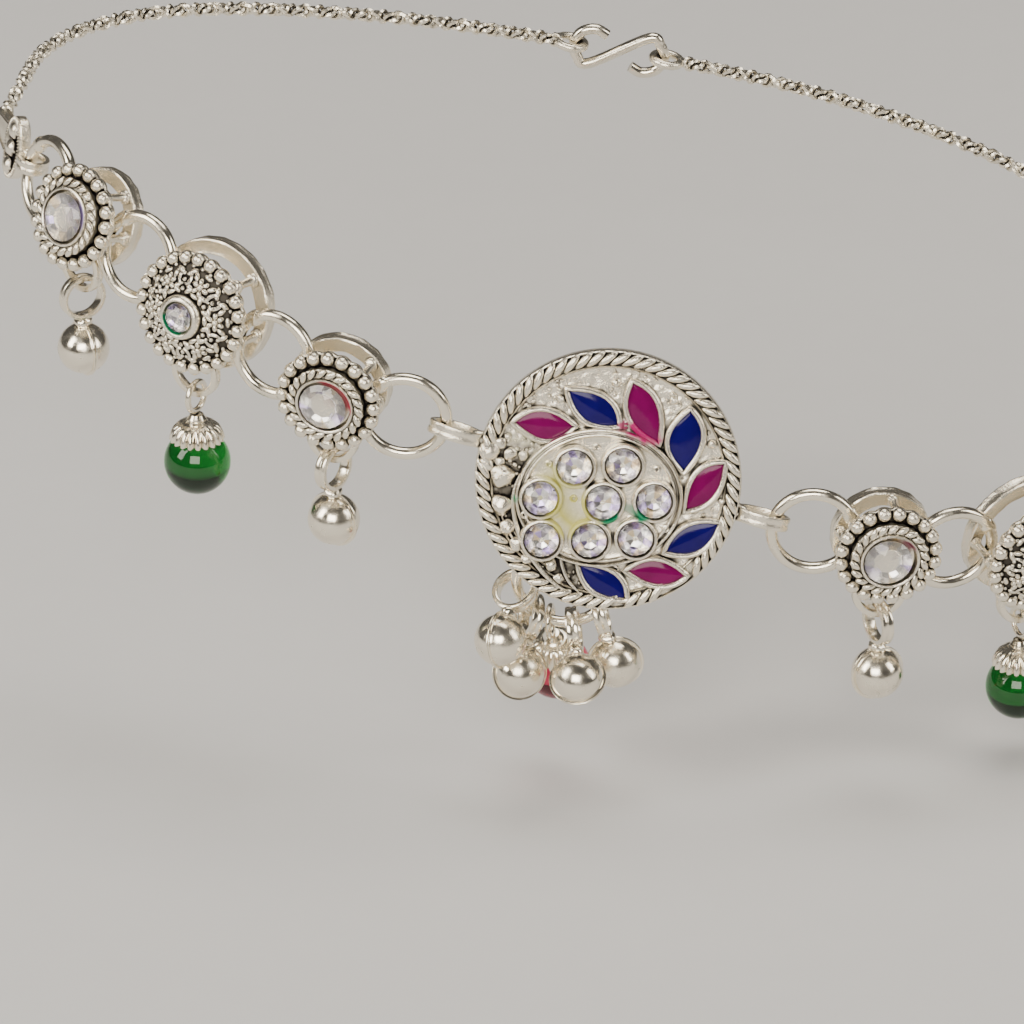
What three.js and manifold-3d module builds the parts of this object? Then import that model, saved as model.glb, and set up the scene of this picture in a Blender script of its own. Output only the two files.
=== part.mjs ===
// Payal anklet of cast silver-tone metal: an enamelled medallion in front, three domed stations and four
// rings on each side, an oval end plate and a rope chain that close in a loop at a hook clasp, with bells
// and glass beads hanging below. Millimetres, +Z up, and the front looks along -Y.
import * as THREE from 'three';
import { mergeVertices } from 'three/addons/utils/BufferGeometryUtils.js';
import Module from 'manifold-3d';

const wasm = await Module();
wasm.setup();

// Driving dimensions
const clearance = 0.12;            // play between pieces that pass through or seat in each other
const bite = 0.25;                 // depth that soldered parts of one casting sink into each other
const ringPlay = 0.8 * clearance;  // play of a link ring on its post
const lugPlay = 3.5 * clearance;   // play of a link ring in the strap loop that it tilts in
const hangPlay = 2 * clearance;    // play of a loop on the wire that it swings on
const dropPlay = 3 * clearance;    // play of a bell or bead in its drop ring

const loopWidth = 105.2;           // of the whole route, from side to side
const loopDepth = 65.1;            // and from front to back
const mountHeight = 6;             // of the centre of the hollow above the medallion's centre

const medallionRadius = 11.6;
const medallionLean = 13;          // degrees that the medallion's face looks up
const plateThickness = 1.2;
const borderWidth = 1.25;
const borderHeight = 0.55;
const borderLobes = 64;
const lobeDepth = 0.28;
const petalHeight = 0.55;
const petalRim = 0.42;
const bossCentre = [-0.8, -1.45];
const bossHalfWidth = 7.3;
const bossHalfHeight = 6.2;
const bossHeight = 0.75;
const cupRadius = 1.8;
const cupHeight = 0.75;
const cupStoneRadius = 1.5;
const grainRadius = 0.55;
const grainSink = 0.2;             // share of a grain's radius that its middle stands out by
const bossTop = 0.9;               // share of the raised field that is flat on top
const tipInset = 1.7;              // how much more a petal's tips move than its sides when it is inset
const chamfer = 0.08;

const lugHalfLength = 2.5;
const lugHalfDepth = 1.55;
const lugBand = 0.5;
const lugWidth = 1.2;
const lugRoot = 1.5;               // solder block between the plate's edge and its lug

const linkRadius = 4.2;            // outer radius of the rings that join the stations
const linkWire = 0.55;             // radius of their wire
const solderRadius = 0.68;
const solderTurn = 0.9;            // radians from the top of a ring to its solder

const postRadius = 0.36;
const dropPostShare = 0.6;         // how far the lowest post is turned from the station's foot towards plumb
const stationDepth = 4.6;          // from the rim of the front disc to the back of the back ring
const backRingBand = 1.2;
const backRingThickness = 1.2;
const discThickness = 0.75;
const smallBackRadius = 4.3;
const smallDiscRadius = smallBackRadius + 0.5;
const smallDiscLobes = 20;
const smallColletRadius = 2.85;
const smallColletHeight = 1.1;
const smallStoneRadius = 2.25;
const largeBackRadius = 5.75;
const largeDiscRadius = largeBackRadius - 0.15;
const largeDiscLobes = 24;
const largeColletRadius = 2.0;
const largeColletHeight = 2.1;
const largeStoneRadius = 1.3;
const domeShare = 0.55;            // share of a collet's height that the dome below it rises
const domeFoot = 0.8;              // share of the disc's radius that the dome covers
const stoneSink = 0.1;             // how far a stone's girdle lies below the top of its collet
const stoneDepth = 0.45;           // share of a stone's radius that its seat goes down
const stoneTable = 0.56;           // shares of a stone's radius for its table, crown and girdle
const stoneCrown = 0.3;
const stoneGirdle = 0.08;
const stoneFacets = 8;

const dropRadius = 2.4;
const dropBand = 0.65;
const dropWidth = 0.85;
const dropDepth = 0.1;             // place of the drop rings between the disc and the back ring

const bellRadius = 2.3;
const bellFlange = 0.22;           // how far the seam of a bell stands proud
const bellFlangeThickness = 0.3;
const bellNeck = 0.6;
const bellNeckRadius = 0.7;
const bellLoopRadius = 2.1;
const bellLoopBand = 0.5;
const bellLoopWidth = 1.1;
const bellYaw = 18;                // degrees that the bells of the stations turn away from the medallion

const beadRadius = 2.95;
const capRadius = 2.45;
const capHeight = 1.7;
const capWall = 0.3;
const capNeckRadius = 0.85;
const capNeckLength = 0.85;
const eyeRadius = 1.6;
const eyeWire = 0.27;

const clusterRadius = 4.75;        // outer radius of the ring of bells behind the medallion
const clusterWire = 0.5;
const hangerRadius = 1.7;          // strap loop on the medallion's back that the ring of bells hangs from
const hangerPlace = [-3.7, -5.2];

const endPlateHeight = 6.0;
const endPlateWidth = 4.0;
const endPlateThickness = 1.0;
const endBallRadius = 0.9;
const endBallPitch = 1.75;
const endLugRadius = 1.5;
const tongueLength = 3.6;
const tongueRoot = 1.7;            // half height of the tongue where it leaves the plate
const chainRadius = 0.75;
const chainSides = 8;
const chainSteps = 25;
const chainLoopRadius = 1.7;
const chainLoopWire = 0.4;
const hookHalfLength = 4.2;
const hookWire = 0.5;
const hookTurn = 1.75;             // radius of each turn of the hook

const wireSides = 5;               // flat sides of a round wire, and steps round the turned pieces
const eyeSteps = 10;
const stripSteps = 12;
const ringSteps = 14;
const clusterSteps = 18;
const bossSteps = 24;
const plateSteps = 40;

// Chosen points of the anklet's route, seen from the medallion, closed in a loop
const route = [
  [0, 0, 0], [24.3, -0.1, -6.3], [38, 4.7, -8.5], [48.3, 13.5, -8.6], [52.8, 28, -7], [50.5, 43, -3],
  [41, 55, 2], [23, 62.5, 7], [0, 65, 11.5], [-22, 63.5, 15.5], [-40, 57.5, 18.5], [-49.3, 48.5, 19.7],
  [-52.2, 38, 19.9], [-52.4, 29.6, 18.5], [-46.1, 18.2, 17.2], [-35.6, 9.2, 12.5], [-23.8, 2.4, 7.6],
];

// Pattern of the medallion, sideways and up from its centre: two tips of each petal and the middle of its
// sides, in the order that runs round it against the clock
const petals = [
  { tips: [[-8.0, 5.2], [-3.1, 4.9]], sides: [[-5.4, 3.7], [-5.7, 6.2]] },
  { tips: [[-3.35, 8.0], [0.75, 5.0]], sides: [[-2.0, 5.5], [-0.3, 7.3]] },
  { tips: [[2.2, 8.6], [4.3, 3.5]], sides: [[1.9, 5.7], [4.15, 6.8]] },
  { tips: [[7.1, 6.1], [6.6, 1.0]], sides: [[5.3, 3.6], [8.05, 3.7]] },
  { tips: [[10.0, 1.4], [6.8, -2.5]], sides: [[7.7, 0.5], [9.1, -1.4]] },
  { tips: [[9.5, -3.9], [5.1, -6.3]], sides: [[6.8, -4.2], [7.9, -6.2]] },
  { tips: [[6.6, -8.5], [1.8, -8.1]], sides: [[4.2, -7.2], [4.4, -9.3]] },
  { tips: [[1.4, -10.5], [-2.4, -7.6]], sides: [[0.5, -8.4], [-1.2, -9.8]] },
];
const cupPlaces = [
  [-2.9, 1.4], [1.3, 1.55], [-5.85, -1.35], [-0.4, -1.75], [4.0, -1.65], [-5.75, -5.1], [-1.6, -5.15],
  [2.4, -5.0],
];
const grains = [
  { at: [-9.2, 0.4], size: 1.75 }, { at: [-9.3, -2.2], size: 1.6 }, { at: [-8.75, -4.1], size: 1.2 },
  { at: [-8.1, -5.5], size: 1.0 }, { at: [-7.3, -6.8], size: 0.9 }, { at: [-5.0, -7.6], size: 1.15 },
  { at: [-4.3, -8.8], size: 0.9 }, { at: [0.7, 8.7], size: 0.8 }, { at: [9.0, 3.2], size: 0.8 },
];

// Metals and glass
const silver = { color: 0xc9c5bd, roughness: 0.32, metalness: 1.0 };
const brightSilver = { color: 0xd8d4cc, roughness: 0.2, metalness: 1.0 };
const crystal = { color: 0xf1eee8, roughness: 0.05, metalness: 0.1 };
const greenGlass = { color: 0x2f8a4b, roughness: 0.1, metalness: 0.0 };
const redGlass = { color: 0xc84659, roughness: 0.1, metalness: 0.0 };

const anklet = new THREE.Group();
const up = new THREE.Vector3(0, 0, 1);
const vector = (values) => new THREE.Vector3(...values);

// A closed solid from a closed mesh: shared corners merged and flat triangles at the poles dropped
function solidOf(geometry) {
  geometry.deleteAttribute('normal');
  geometry.deleteAttribute('uv');
  const merged = mergeVertices(geometry, 1e-4);
  const corners = merged.index.array;
  const kept = [];
  for (let i = 0; i < corners.length; i += 3) {
    const [a, b, c] = corners.slice(i, i + 3);
    if (a !== b && b !== c && c !== a) kept.push(a, b, c);
  }
  return new wasm.Manifold(new wasm.Mesh({
    numProp: 3,
    vertProperties: merged.attributes.position.array,
    triVerts: new Uint32Array(kept),
  }));
}

function geometryOf(solid) {
  const mesh = solid.getMesh();
  const geometry = new THREE.BufferGeometry();
  geometry.setAttribute('position', new THREE.BufferAttribute(mesh.vertProperties, 3));
  geometry.setIndex(new THREE.BufferAttribute(mesh.triVerts, 1));
  geometry.computeVertexNormals();
  return geometry;
}

const joined = (...geometries) => geometries.map(solidOf).reduce((all, next) => all.add(next));

function place(name, geometry, material, parent) {
  const mesh = new THREE.Mesh(geometry, new THREE.MeshStandardMaterial(material));
  mesh.name = name;
  parent.add(mesh);
  return mesh;
}

// A group whose axes run along the anklet, inwards and up
function frame(origin, along, inward) {
  const x = along.clone().normalize();
  const z = new THREE.Vector3().crossVectors(x, inward).normalize();
  const y = new THREE.Vector3().crossVectors(z, x);
  const group = new THREE.Group();
  group.applyMatrix4(new THREE.Matrix4().makeBasis(x, y, z).setPosition(origin));
  anklet.add(group);
  return group;
}

// Inward direction of a piece that runs along a tangent and whose face leans up by some degrees
function inwardFor(along, lean) {
  const level = new THREE.Vector3().crossVectors(up, along).normalize();
  return level.applyAxisAngle(along, -THREE.MathUtils.degToRad(lean));
}

// Shapes in the face plane (sideways and up) that rise towards the front from a level
function raised(shape, height, level, segments = 4) {
  const settings = { depth: height, bevelEnabled: false, curveSegments: segments };
  const geometry = new THREE.ExtrudeGeometry(shape, settings);
  return geometry.rotateX(Math.PI / 2).translate(0, level, 0);
}

function lobedShape(radius, lobes, depth) {
  const points = [];
  for (let i = 0; i < lobes * 2; i += 1) {
    const reach = i % 2 === 0 ? radius - depth : radius;
    const turn = i / lobes * Math.PI;
    points.push(new THREE.Vector2(Math.cos(turn) * reach, Math.sin(turn) * reach));
  }
  return new THREE.Shape(points);
}

function withHole(shape, radius, steps) {
  const hole = new THREE.Path();
  const points = [];
  for (let i = 0; i < steps; i += 1) {
    const turn = -i / steps * 2 * Math.PI;
    points.push(new THREE.Vector2(Math.cos(turn) * radius, Math.sin(turn) * radius));
  }
  shape.holes.push(hole.setFromPoints(points));
  return shape;
}

// Turned solid about the depth axis; its profile is given as pairs of radius and depth
function turned(profile, segments) {
  const points = profile.map(([radius, depth]) => new THREE.Vector2(radius, depth));
  return new THREE.LatheGeometry(points, segments);
}

// Flat band bent into a ring about the depth axis
function band(radius, thickness, width, segments) {
  const inner = radius - thickness;
  const half = width / 2;
  const profile = [[inner, -half], [radius, -half], [radius, half], [inner, half], [inner, -half]];
  return turned(profile, segments);
}

// Cut stone: table, crown, girdle and a shallow pavilion
function brilliant(radius) {
  const crown = radius * stoneCrown;
  const foot = radius * stoneDepth - stoneSink - clearance;
  const profile = [[0, -crown], [radius * stoneTable, -crown], [radius, 0], [radius, radius * stoneGirdle]];
  return solidOf(turned([...profile, [0, foot]], stoneFacets));
}

// Blunt cup that grips a stone, standing on the metal below, and the seat that is cut into it
function cup(radius, height, level) {
  const top = level - height;
  const wall = [[radius - chamfer, top], [radius, top + chamfer], [radius, level + bite]];
  return turned([[0, top], ...wall, [0, level + bite]], stripSteps);
}

function seat(stoneRadius, top) {
  const opening = stoneRadius + clearance;
  const floor = top + stoneRadius * stoneDepth;
  return turned([[0, top - bite], [opening, top - bite], [opening, floor], [0, floor]], stripSteps);
}

function petalOutline(petal, inset) {
  const tips = petal.tips.map((tip) => new THREE.Vector2(...tip));
  const middle = tips[0].clone().add(tips[1]).multiplyScalar(0.5);
  const axis = tips[1].clone().sub(tips[0]).normalize();
  const ends = [
    tips[0].clone().addScaledVector(axis, inset * tipInset),
    tips[1].clone().addScaledVector(axis, -inset * tipInset),
  ];
  const chord = ends[0].clone().add(ends[1]).multiplyScalar(0.5);
  const controls = petal.sides.map((side) => {
    const belly = new THREE.Vector2(...side);
    const out = belly.clone().sub(middle);
    out.setLength(Math.max(out.length() - inset, petalRim));
    return middle.clone().add(out).multiplyScalar(2).sub(chord);
  });
  const path = new THREE.Shape();
  path.moveTo(ends[0].x, ends[0].y);
  path.quadraticCurveTo(controls[0].x, controls[0].y, ends[1].x, ends[1].y);
  path.quadraticCurveTo(controls[1].x, controls[1].y, ends[0].x, ends[0].y);
  return path;
}

function petalCell(petal, level) {
  const outer = petalOutline(petal, -petalRim);
  outer.holes.push(petalOutline(petal, 0));
  return raised(outer, petalHeight + bite, level + bite, 3);
}

// Strap loop that stands out from an edge in a direction, with the block that it is soldered to
function strapLug(edge, direction, halfLength, halfDepth) {
  const lug = band(halfLength, lugBand, lugWidth, stripSteps).rotateX(Math.PI / 2);
  lug.scale(1, halfDepth / halfLength, 1).translate(edge + halfLength - bite, 0, 0);
  const block = new THREE.BoxGeometry(lugRoot, lugRoot, lugWidth - chamfer);
  block.translate(edge - bite, 0, 0);
  const x = direction.clone().normalize();
  const z = new THREE.Vector3().crossVectors(x, new THREE.Vector3(0, 1, 0)).normalize();
  const turn = new THREE.Matrix4().makeBasis(x, new THREE.Vector3().crossVectors(z, x), z);
  return [lug.applyMatrix4(turn), block.applyMatrix4(turn)];
}

// The route as one closed curve, and the point on it at a straight distance from another
const spanOf = (values) => Math.max(...values) - Math.min(...values);
const wider = loopWidth / spanOf(route.map(([x]) => x));
const deeper = loopDepth / spanOf(route.map(([, y]) => y));
const hollowCentre = new THREE.Vector3(0, loopDepth / 2, mountHeight);
const routePoints = route.map(([x, y, z]) => vector([x * wider, y * deeper, z]).sub(hollowCentre));
const curve = new THREE.CatmullRomCurve3(routePoints, true, 'centripetal');
const curveLength = curve.getLength();

const wrapped = (share) => ((share % 1) + 1) % 1;

function marchTo(from, share, distance, sense) {
  let near = share;
  let far = share;
  while (curve.getPointAt(wrapped(far)).distanceTo(from) < distance) far += sense * 0.5 / curveLength;
  for (let i = 0; i < 30; i += 1) {
    const half = (near + far) / 2;
    if (curve.getPointAt(wrapped(half)).distanceTo(from) < distance) near = half;
    else far = half;
  }
  return far;
}

// Distances between centres, worked out from the pieces that hang in each other
const linkCentre = linkRadius - linkWire;
const smallPost = smallBackRadius - backRingBand / 2;
const largePost = largeBackRadius - backRingBand / 2;
const ringHold = linkRadius - 2 * linkWire - postRadius - ringPlay;
const lugInside = -lugBand - linkWire - lugPlay - bite;
const lugHold = medallionRadius + 2 * lugHalfLength + lugInside;
const endLugHold = endPlateWidth / 2 + 2 * endLugRadius + lugInside;

// Each side with the lean of its pieces and the turn of its highest posts, in degrees
const sides = [
  { name: 'right', sense: 1, leans: [-3, -12, -8], endLean: 0, topPost: 88 },
  { name: 'left', sense: -1, leans: [-3, 9, 19], endLean: 10, topPost: 58 },
];
const steps = [
  { kind: 'ring', distance: lugHold + linkCentre },
  { kind: 'small', distance: ringHold + smallPost },
  { kind: 'ring', distance: ringHold + smallPost },
  { kind: 'large', distance: ringHold + largePost },
  { kind: 'ring', distance: ringHold + largePost },
  { kind: 'small', distance: ringHold + smallPost },
  { kind: 'ring', distance: ringHold + smallPost },
  { kind: 'end', distance: linkCentre + endLugHold },
];

function layOut(side) {
  const stops = [{ kind: 'medallion', at: curve.getPointAt(0), share: 0 }];
  for (const step of steps) {
    const last = stops[stops.length - 1];
    const share = marchTo(last.at, last.share, step.distance, side.sense);
    stops.push({ kind: step.kind, at: curve.getPointAt(wrapped(share)), share });
  }
  return stops;
}

// Along the anklet as the front shows it, left to right
function tangentAt(stops, i, sense) {
  const next = stops[i + 1] ? stops[i + 1].at : stops[i].at;
  return next.clone().sub(stops[i - 1].at).multiplyScalar(sense).normalize();
}

// Pieces
function medallion(lugDirections) {
  const level = -plateThickness / 2;
  const plateRadius = medallionRadius - lobeDepth;
  const plateProfile = [[0, level], [plateRadius, level], [plateRadius, -level], [0, -level]];
  const plate = turned(plateProfile, plateSteps);
  const outside = lobedShape(medallionRadius, borderLobes, lobeDepth);
  const rope = withHole(outside, medallionRadius - borderWidth, plateSteps);
  const border = raised(rope, borderHeight + bite, level + bite);
  const top = level - bossHeight;
  const boss = turned([[0, top], [bossTop, top], [1, level + bite], [0, level + bite]], bossSteps);
  boss.scale(bossHalfWidth, 1, bossHalfHeight).translate(bossCentre[0], 0, bossCentre[1]);
  const pieces = [plate, border, boss];
  for (const petal of petals) pieces.push(petalCell(petal, level));
  for (const grain of grains) {
    const size = grainRadius * grain.size;
    const lump = new THREE.SphereGeometry(size, 6, 4).rotateX(Math.PI / 2);
    pieces.push(lump.translate(grain.at[0], level - size * grainSink, grain.at[1]));
  }
  for (const direction of lugDirections) {
    pieces.push(...strapLug(medallionRadius, direction, lugHalfLength, lugHalfDepth));
  }
  const hanger = band(hangerRadius, lugBand, lugWidth, stripSteps).rotateZ(Math.PI / 2);
  pieces.push(hanger.translate(hangerPlace[0], hangerRadius - level - bite, hangerPlace[1]));
  const seats = [];
  for (const [x, z] of cupPlaces) {
    pieces.push(cup(cupRadius, cupHeight, top).translate(x, 0, z));
    seats.push(seat(cupStoneRadius, top - cupHeight).translate(x, 0, z));
  }
  return joined(...pieces).subtract(joined(...seats));
}

function stationSizes(kind) {
  if (kind === 'large') {
    return { back: largeBackRadius, post: largePost, disc: largeDiscRadius, lobes: largeDiscLobes,
      collet: largeColletRadius, rise: largeColletHeight, stone: largeStoneRadius };
  }
  return { back: smallBackRadius, post: smallPost, disc: smallDiscRadius, lobes: smallDiscLobes,
    collet: smallColletRadius, rise: smallColletHeight, stone: smallStoneRadius };
}

const discFace = -stationDepth / 2;
const backFace = stationDepth / 2;

function station(sizes, topTurn, dropTurn) {
  const rimOutline = lobedShape(sizes.disc, sizes.lobes, lobeDepth);
  const rim = raised(rimOutline, discThickness, discFace + discThickness);
  const swell = sizes.rise * domeShare;
  const foot = sizes.disc * domeFoot;
  const crest = [[0, discFace - swell], [sizes.collet, discFace - swell]];
  const skirt = [[foot, discFace], [foot, discFace + bite], [0, discFace + bite]];
  const dome = turned([...crest, ...skirt], stripSteps);
  const ring = band(sizes.back, backRingBand, backRingThickness, ringSteps);
  ring.translate(0, backFace - backRingThickness / 2, 0);
  const pieces = [rim, ring];
  const postLength = stationDepth - backRingThickness - discThickness + 2 * bite;
  const middle = (discFace + discThickness + backFace - backRingThickness) / 2;
  for (const turn of [0, topTurn, Math.PI, dropTurn]) {
    const post = new THREE.CylinderGeometry(postRadius, postRadius, postLength, wireSides);
    pieces.push(post.translate(Math.cos(turn) * sizes.post, middle, Math.sin(turn) * sizes.post));
  }
  const collet = cup(sizes.collet, sizes.rise - swell, discFace - swell);
  return joined(...pieces, dome, collet).subtract(solidOf(seat(sizes.stone, discFace - sizes.rise)));
}

function linkRing(turn) {
  const wire = new THREE.TorusGeometry(linkCentre, linkWire, wireSides, ringSteps).rotateX(Math.PI / 2);
  const solder = new THREE.SphereGeometry(solderRadius, 5, 4);
  solder.translate(Math.cos(turn) * linkCentre, 0, Math.sin(turn) * linkCentre);
  return joined(wire, solder);
}

// A bell below its loop: two hemispheres with a proud seam, a neck and a strap loop about the X axis
function bell() {
  const centre = -(bellLoopRadius + bellNeck + bellRadius);
  const ball = new THREE.SphereGeometry(bellRadius, 10, 6).translate(0, 0, centre);
  const rim = bellRadius + bellFlange;
  const seam = new THREE.CylinderGeometry(rim, rim, bellFlangeThickness, 10);
  const neckLength = bellNeck + 2 * bite + bellLoopBand;
  const neck = new THREE.CylinderGeometry(bellNeckRadius, bellNeckRadius, neckLength, 6);
  neck.rotateX(Math.PI / 2).translate(0, 0, -bellLoopRadius - bellNeck / 2);
  const loop = band(bellLoopRadius, bellLoopBand, bellLoopWidth, eyeSteps).rotateZ(Math.PI / 2);
  return joined(ball, seam.translate(0, 0, centre), neck, loop);
}

const beadHollow = beadRadius + clearance;
const capCrown = -(eyeRadius + capNeckLength);
const beadCentre = capCrown - capHeight - Math.sqrt(beadHollow ** 2 - (capRadius - capWall) ** 2);

// Cap over a glass bead, with its neck and wire eye about the X axis
function beadCap() {
  const eye = new THREE.TorusGeometry(eyeRadius - eyeWire, eyeWire, wireSides, eyeSteps);
  eye.rotateY(Math.PI / 2);
  const neckLength = capNeckLength + eyeWire + bite;
  const neck = new THREE.CylinderGeometry(capNeckRadius, capNeckRadius, neckLength, 6);
  neck.rotateX(Math.PI / 2).translate(0, 0, capCrown - bite + neckLength / 2);
  const profile = [[0, capCrown - capHeight]];
  const arcSteps = 3;
  for (let i = arcSteps; i >= 0; i -= 1) {
    const turn = i / arcSteps * Math.PI / 2;
    const reach = capNeckRadius + (capRadius - capNeckRadius) * Math.sin(turn);
    profile.push([reach, capCrown - capHeight * (1 - Math.cos(turn))]);
  }
  profile.push([0, capCrown]);
  const shell = turned(profile, stripSteps).rotateX(Math.PI / 2);
  return joined(eye, neck, shell).subtract(bead(beadHollow));
}

function bead(radius) {
  const ball = new THREE.SphereGeometry(radius, stripSteps, 8).rotateX(Math.PI / 2);
  return solidOf(ball.translate(0, 0, beadCentre));
}

// Oval plate with three balls in a row; its lug looks back to the stations and its tongue on to the chain
function endPlate(sense, lugDirection) {
  const level = -endPlateThickness / 2;
  const edge = [[1 - chamfer, level], [1, level + chamfer], [1, -level]];
  const plate = turned([[0, level], ...edge, [0, -level]], 16);
  plate.scale(endPlateWidth / 2, 1, endPlateHeight / 2);
  const pieces = [plate];
  for (const row of [-1, 0, 1]) {
    pieces.push(new THREE.SphereGeometry(endBallRadius, 7, 5).translate(0, level, row * endBallPitch));
  }
  const tip = endPlateWidth / 2 + tongueLength;
  const outline = [[0, -tongueRoot], [tip, -chainRadius], [tip, chainRadius], [0, tongueRoot]];
  const tongueShape = new THREE.Shape(outline.map((point) => new THREE.Vector2(...point)));
  const tongue = raised(tongueShape, endPlateThickness, -level);
  pieces.push(sense > 0 ? tongue : tongue.rotateY(Math.PI));
  pieces.push(...strapLug(endPlateWidth / 2, lugDirection, endLugRadius, endLugRadius));
  return joined(...pieces);
}

function sweep(points, radius, sideCount, stepCount) {
  const outline = [];
  for (let i = 0; i < sideCount; i += 1) {
    const turn = i / sideCount * 2 * Math.PI;
    outline.push(new THREE.Vector2(Math.cos(turn) * radius, Math.sin(turn) * radius));
  }
  const path = new THREE.CatmullRomCurve3(points, false, 'centripetal');
  return new THREE.ExtrudeGeometry(new THREE.Shape(outline), { steps: stepCount, extrudePath: path });
}

// The chain from inside its tongue along the route to its loop at the clasp
function chain(start, fromShare, toShare, loopAt, loopFrame) {
  const points = [start];
  const stretches = 12;
  for (let i = 1; i < stretches; i += 1) {
    points.push(curve.getPointAt(wrapped(fromShare + (toShare - fromShare) * i / stretches)));
  }
  const loopCentre = chainLoopRadius - chainLoopWire;
  const back = points[points.length - 1].clone().sub(loopAt).normalize();
  points.push(loopAt.clone().addScaledVector(back, loopCentre));
  const loop = new THREE.TorusGeometry(loopCentre, chainLoopWire, wireSides, stripSteps);
  return joined(sweep(points, chainRadius, chainSides, chainSteps), loop.applyMatrix4(loopFrame));
}

// Hook of one bent wire that lies flat: a turn at each end joined by a slanting bar
function clasp() {
  const middle = hookHalfLength - hookTurn;
  const arc = [-50, -90, -135, -180, -225, -270].map((degrees) => {
    const turn = THREE.MathUtils.degToRad(degrees);
    return new THREE.Vector3(Math.cos(turn) * hookTurn - middle, 0, Math.sin(turn) * hookTurn);
  });
  const otherArc = arc.map((point) => point.clone().negate()).reverse();
  return solidOf(sweep([...arc, ...otherArc], hookWire, 6, 26));
}

// Assembly
for (const side of sides) side.stops = layOut(side);

const across = new THREE.Vector3(1, 0, 0);
const face = frame(curve.getPointAt(0), across, inwardFor(across, medallionLean));
face.updateMatrixWorld(true);
const lugDirections = sides.map((side) => face.worldToLocal(side.stops[1].at.clone()));
place('medallion', geometryOf(medallion(lugDirections)), silver, face);
cupPlaces.forEach(([x, z], i) => {
  const stone = place(`medallion_stone_${i + 1}`, geometryOf(brilliant(cupStoneRadius)), crystal, face);
  stone.position.set(x, -plateThickness / 2 - bossHeight - cupHeight + stoneSink, z);
});

// Frame of a piece that hangs: Z against its pull, X along the wire that it hangs from
function hanging(origin, pull, wire) {
  const z = pull.clone().normalize().negate();
  const y = new THREE.Vector3().crossVectors(z, wire).normalize();
  return frame(origin, new THREE.Vector3().crossVectors(y, z), y);
}

function addBead(name, group, glass) {
  place(`${name}_cap`, geometryOf(beadCap()), brightSilver, group);
  place(`${name}_bead`, geometryOf(bead(beadRadius)), glass, group);
}

function addDrop(name, kind, group, dropTurn, sizes, yaw) {
  const down = up.clone().negate();
  const postAxis = new THREE.Vector3(0, 1, 0).transformDirection(group.matrixWorld);
  const tilt = Math.abs(postAxis.dot(down));
  const depth = dropDepth + tilt * dropRadius / 2;
  const post = new THREE.Vector3(Math.cos(dropTurn) * sizes.post, depth, Math.sin(dropTurn) * sizes.post);
  const slack = dropRadius - dropBand - postRadius - clearance - dropWidth * tilt;
  const centre = group.localToWorld(post).addScaledVector(down, slack);
  const sideways = new THREE.Vector3().crossVectors(postAxis, up);
  const ring = solidOf(band(dropRadius, dropBand, dropWidth, ringSteps));
  place(`drop_ring_${name}`, geometryOf(ring), brightSilver, hanging(centre, down, sideways));
  const inner = kind === 'large' ? eyeRadius - 2 * eyeWire : bellLoopRadius - bellLoopBand;
  const reach = dropRadius - dropBand + inner - dropPlay;
  const at = centre.clone().addScaledVector(down, reach);
  if (kind === 'large') {
    addBead(`green_${name}`, hanging(at, down, sideways), greenGlass);
  } else {
    const wire = sideways.clone().applyAxisAngle(up, THREE.MathUtils.degToRad(yaw));
    place(`bell_${name}`, geometryOf(bell()), brightSilver, hanging(at, down, wire));
  }
}

function addStation(side, i) {
  const { at, kind } = side.stops[i];
  const number = i / 2;
  const name = `${side.name}_${number}`;
  const along = tangentAt(side.stops, i, side.sense);
  const group = frame(at, along, inwardFor(along, side.leans[number - 1]));
  group.updateMatrixWorld(true);
  const sizes = stationSizes(kind);
  const plumb = group.worldToLocal(at.clone().sub(up));
  const dropTurn = -Math.PI / 2 + dropPostShare * (Math.atan2(plumb.z, plumb.x) + Math.PI / 2);
  const topTurn = THREE.MathUtils.degToRad(side.topPost);
  place(`station_${name}`, geometryOf(station(sizes, topTurn, dropTurn)), silver, group);
  const stone = place(`stone_${name}`, geometryOf(brilliant(sizes.stone)), crystal, group);
  stone.position.set(0, discFace - sizes.rise + stoneSink, 0);
  addDrop(name, kind, group, dropTurn, sizes, side.sense * bellYaw);
}

function addLink(side, i) {
  const along = tangentAt(side.stops, i, side.sense);
  const leans = [0, ...side.leans, side.endLean];
  const lean = (leans[(i - 1) / 2] + leans[(i + 1) / 2]) / 2;
  const group = frame(side.stops[i].at, along, inwardFor(along, lean));
  const ring = geometryOf(linkRing(Math.PI / 2 - side.sense * solderTurn));
  place(`link_${side.name}_${(i + 1) / 2}`, ring, brightSilver, group);
}

const claspShare = 0.5;
const loopDistance = hookHalfLength + chainLoopRadius - 2 * chainLoopWire - hookWire - clearance;
const loopOffset = loopDistance / curveLength;

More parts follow.
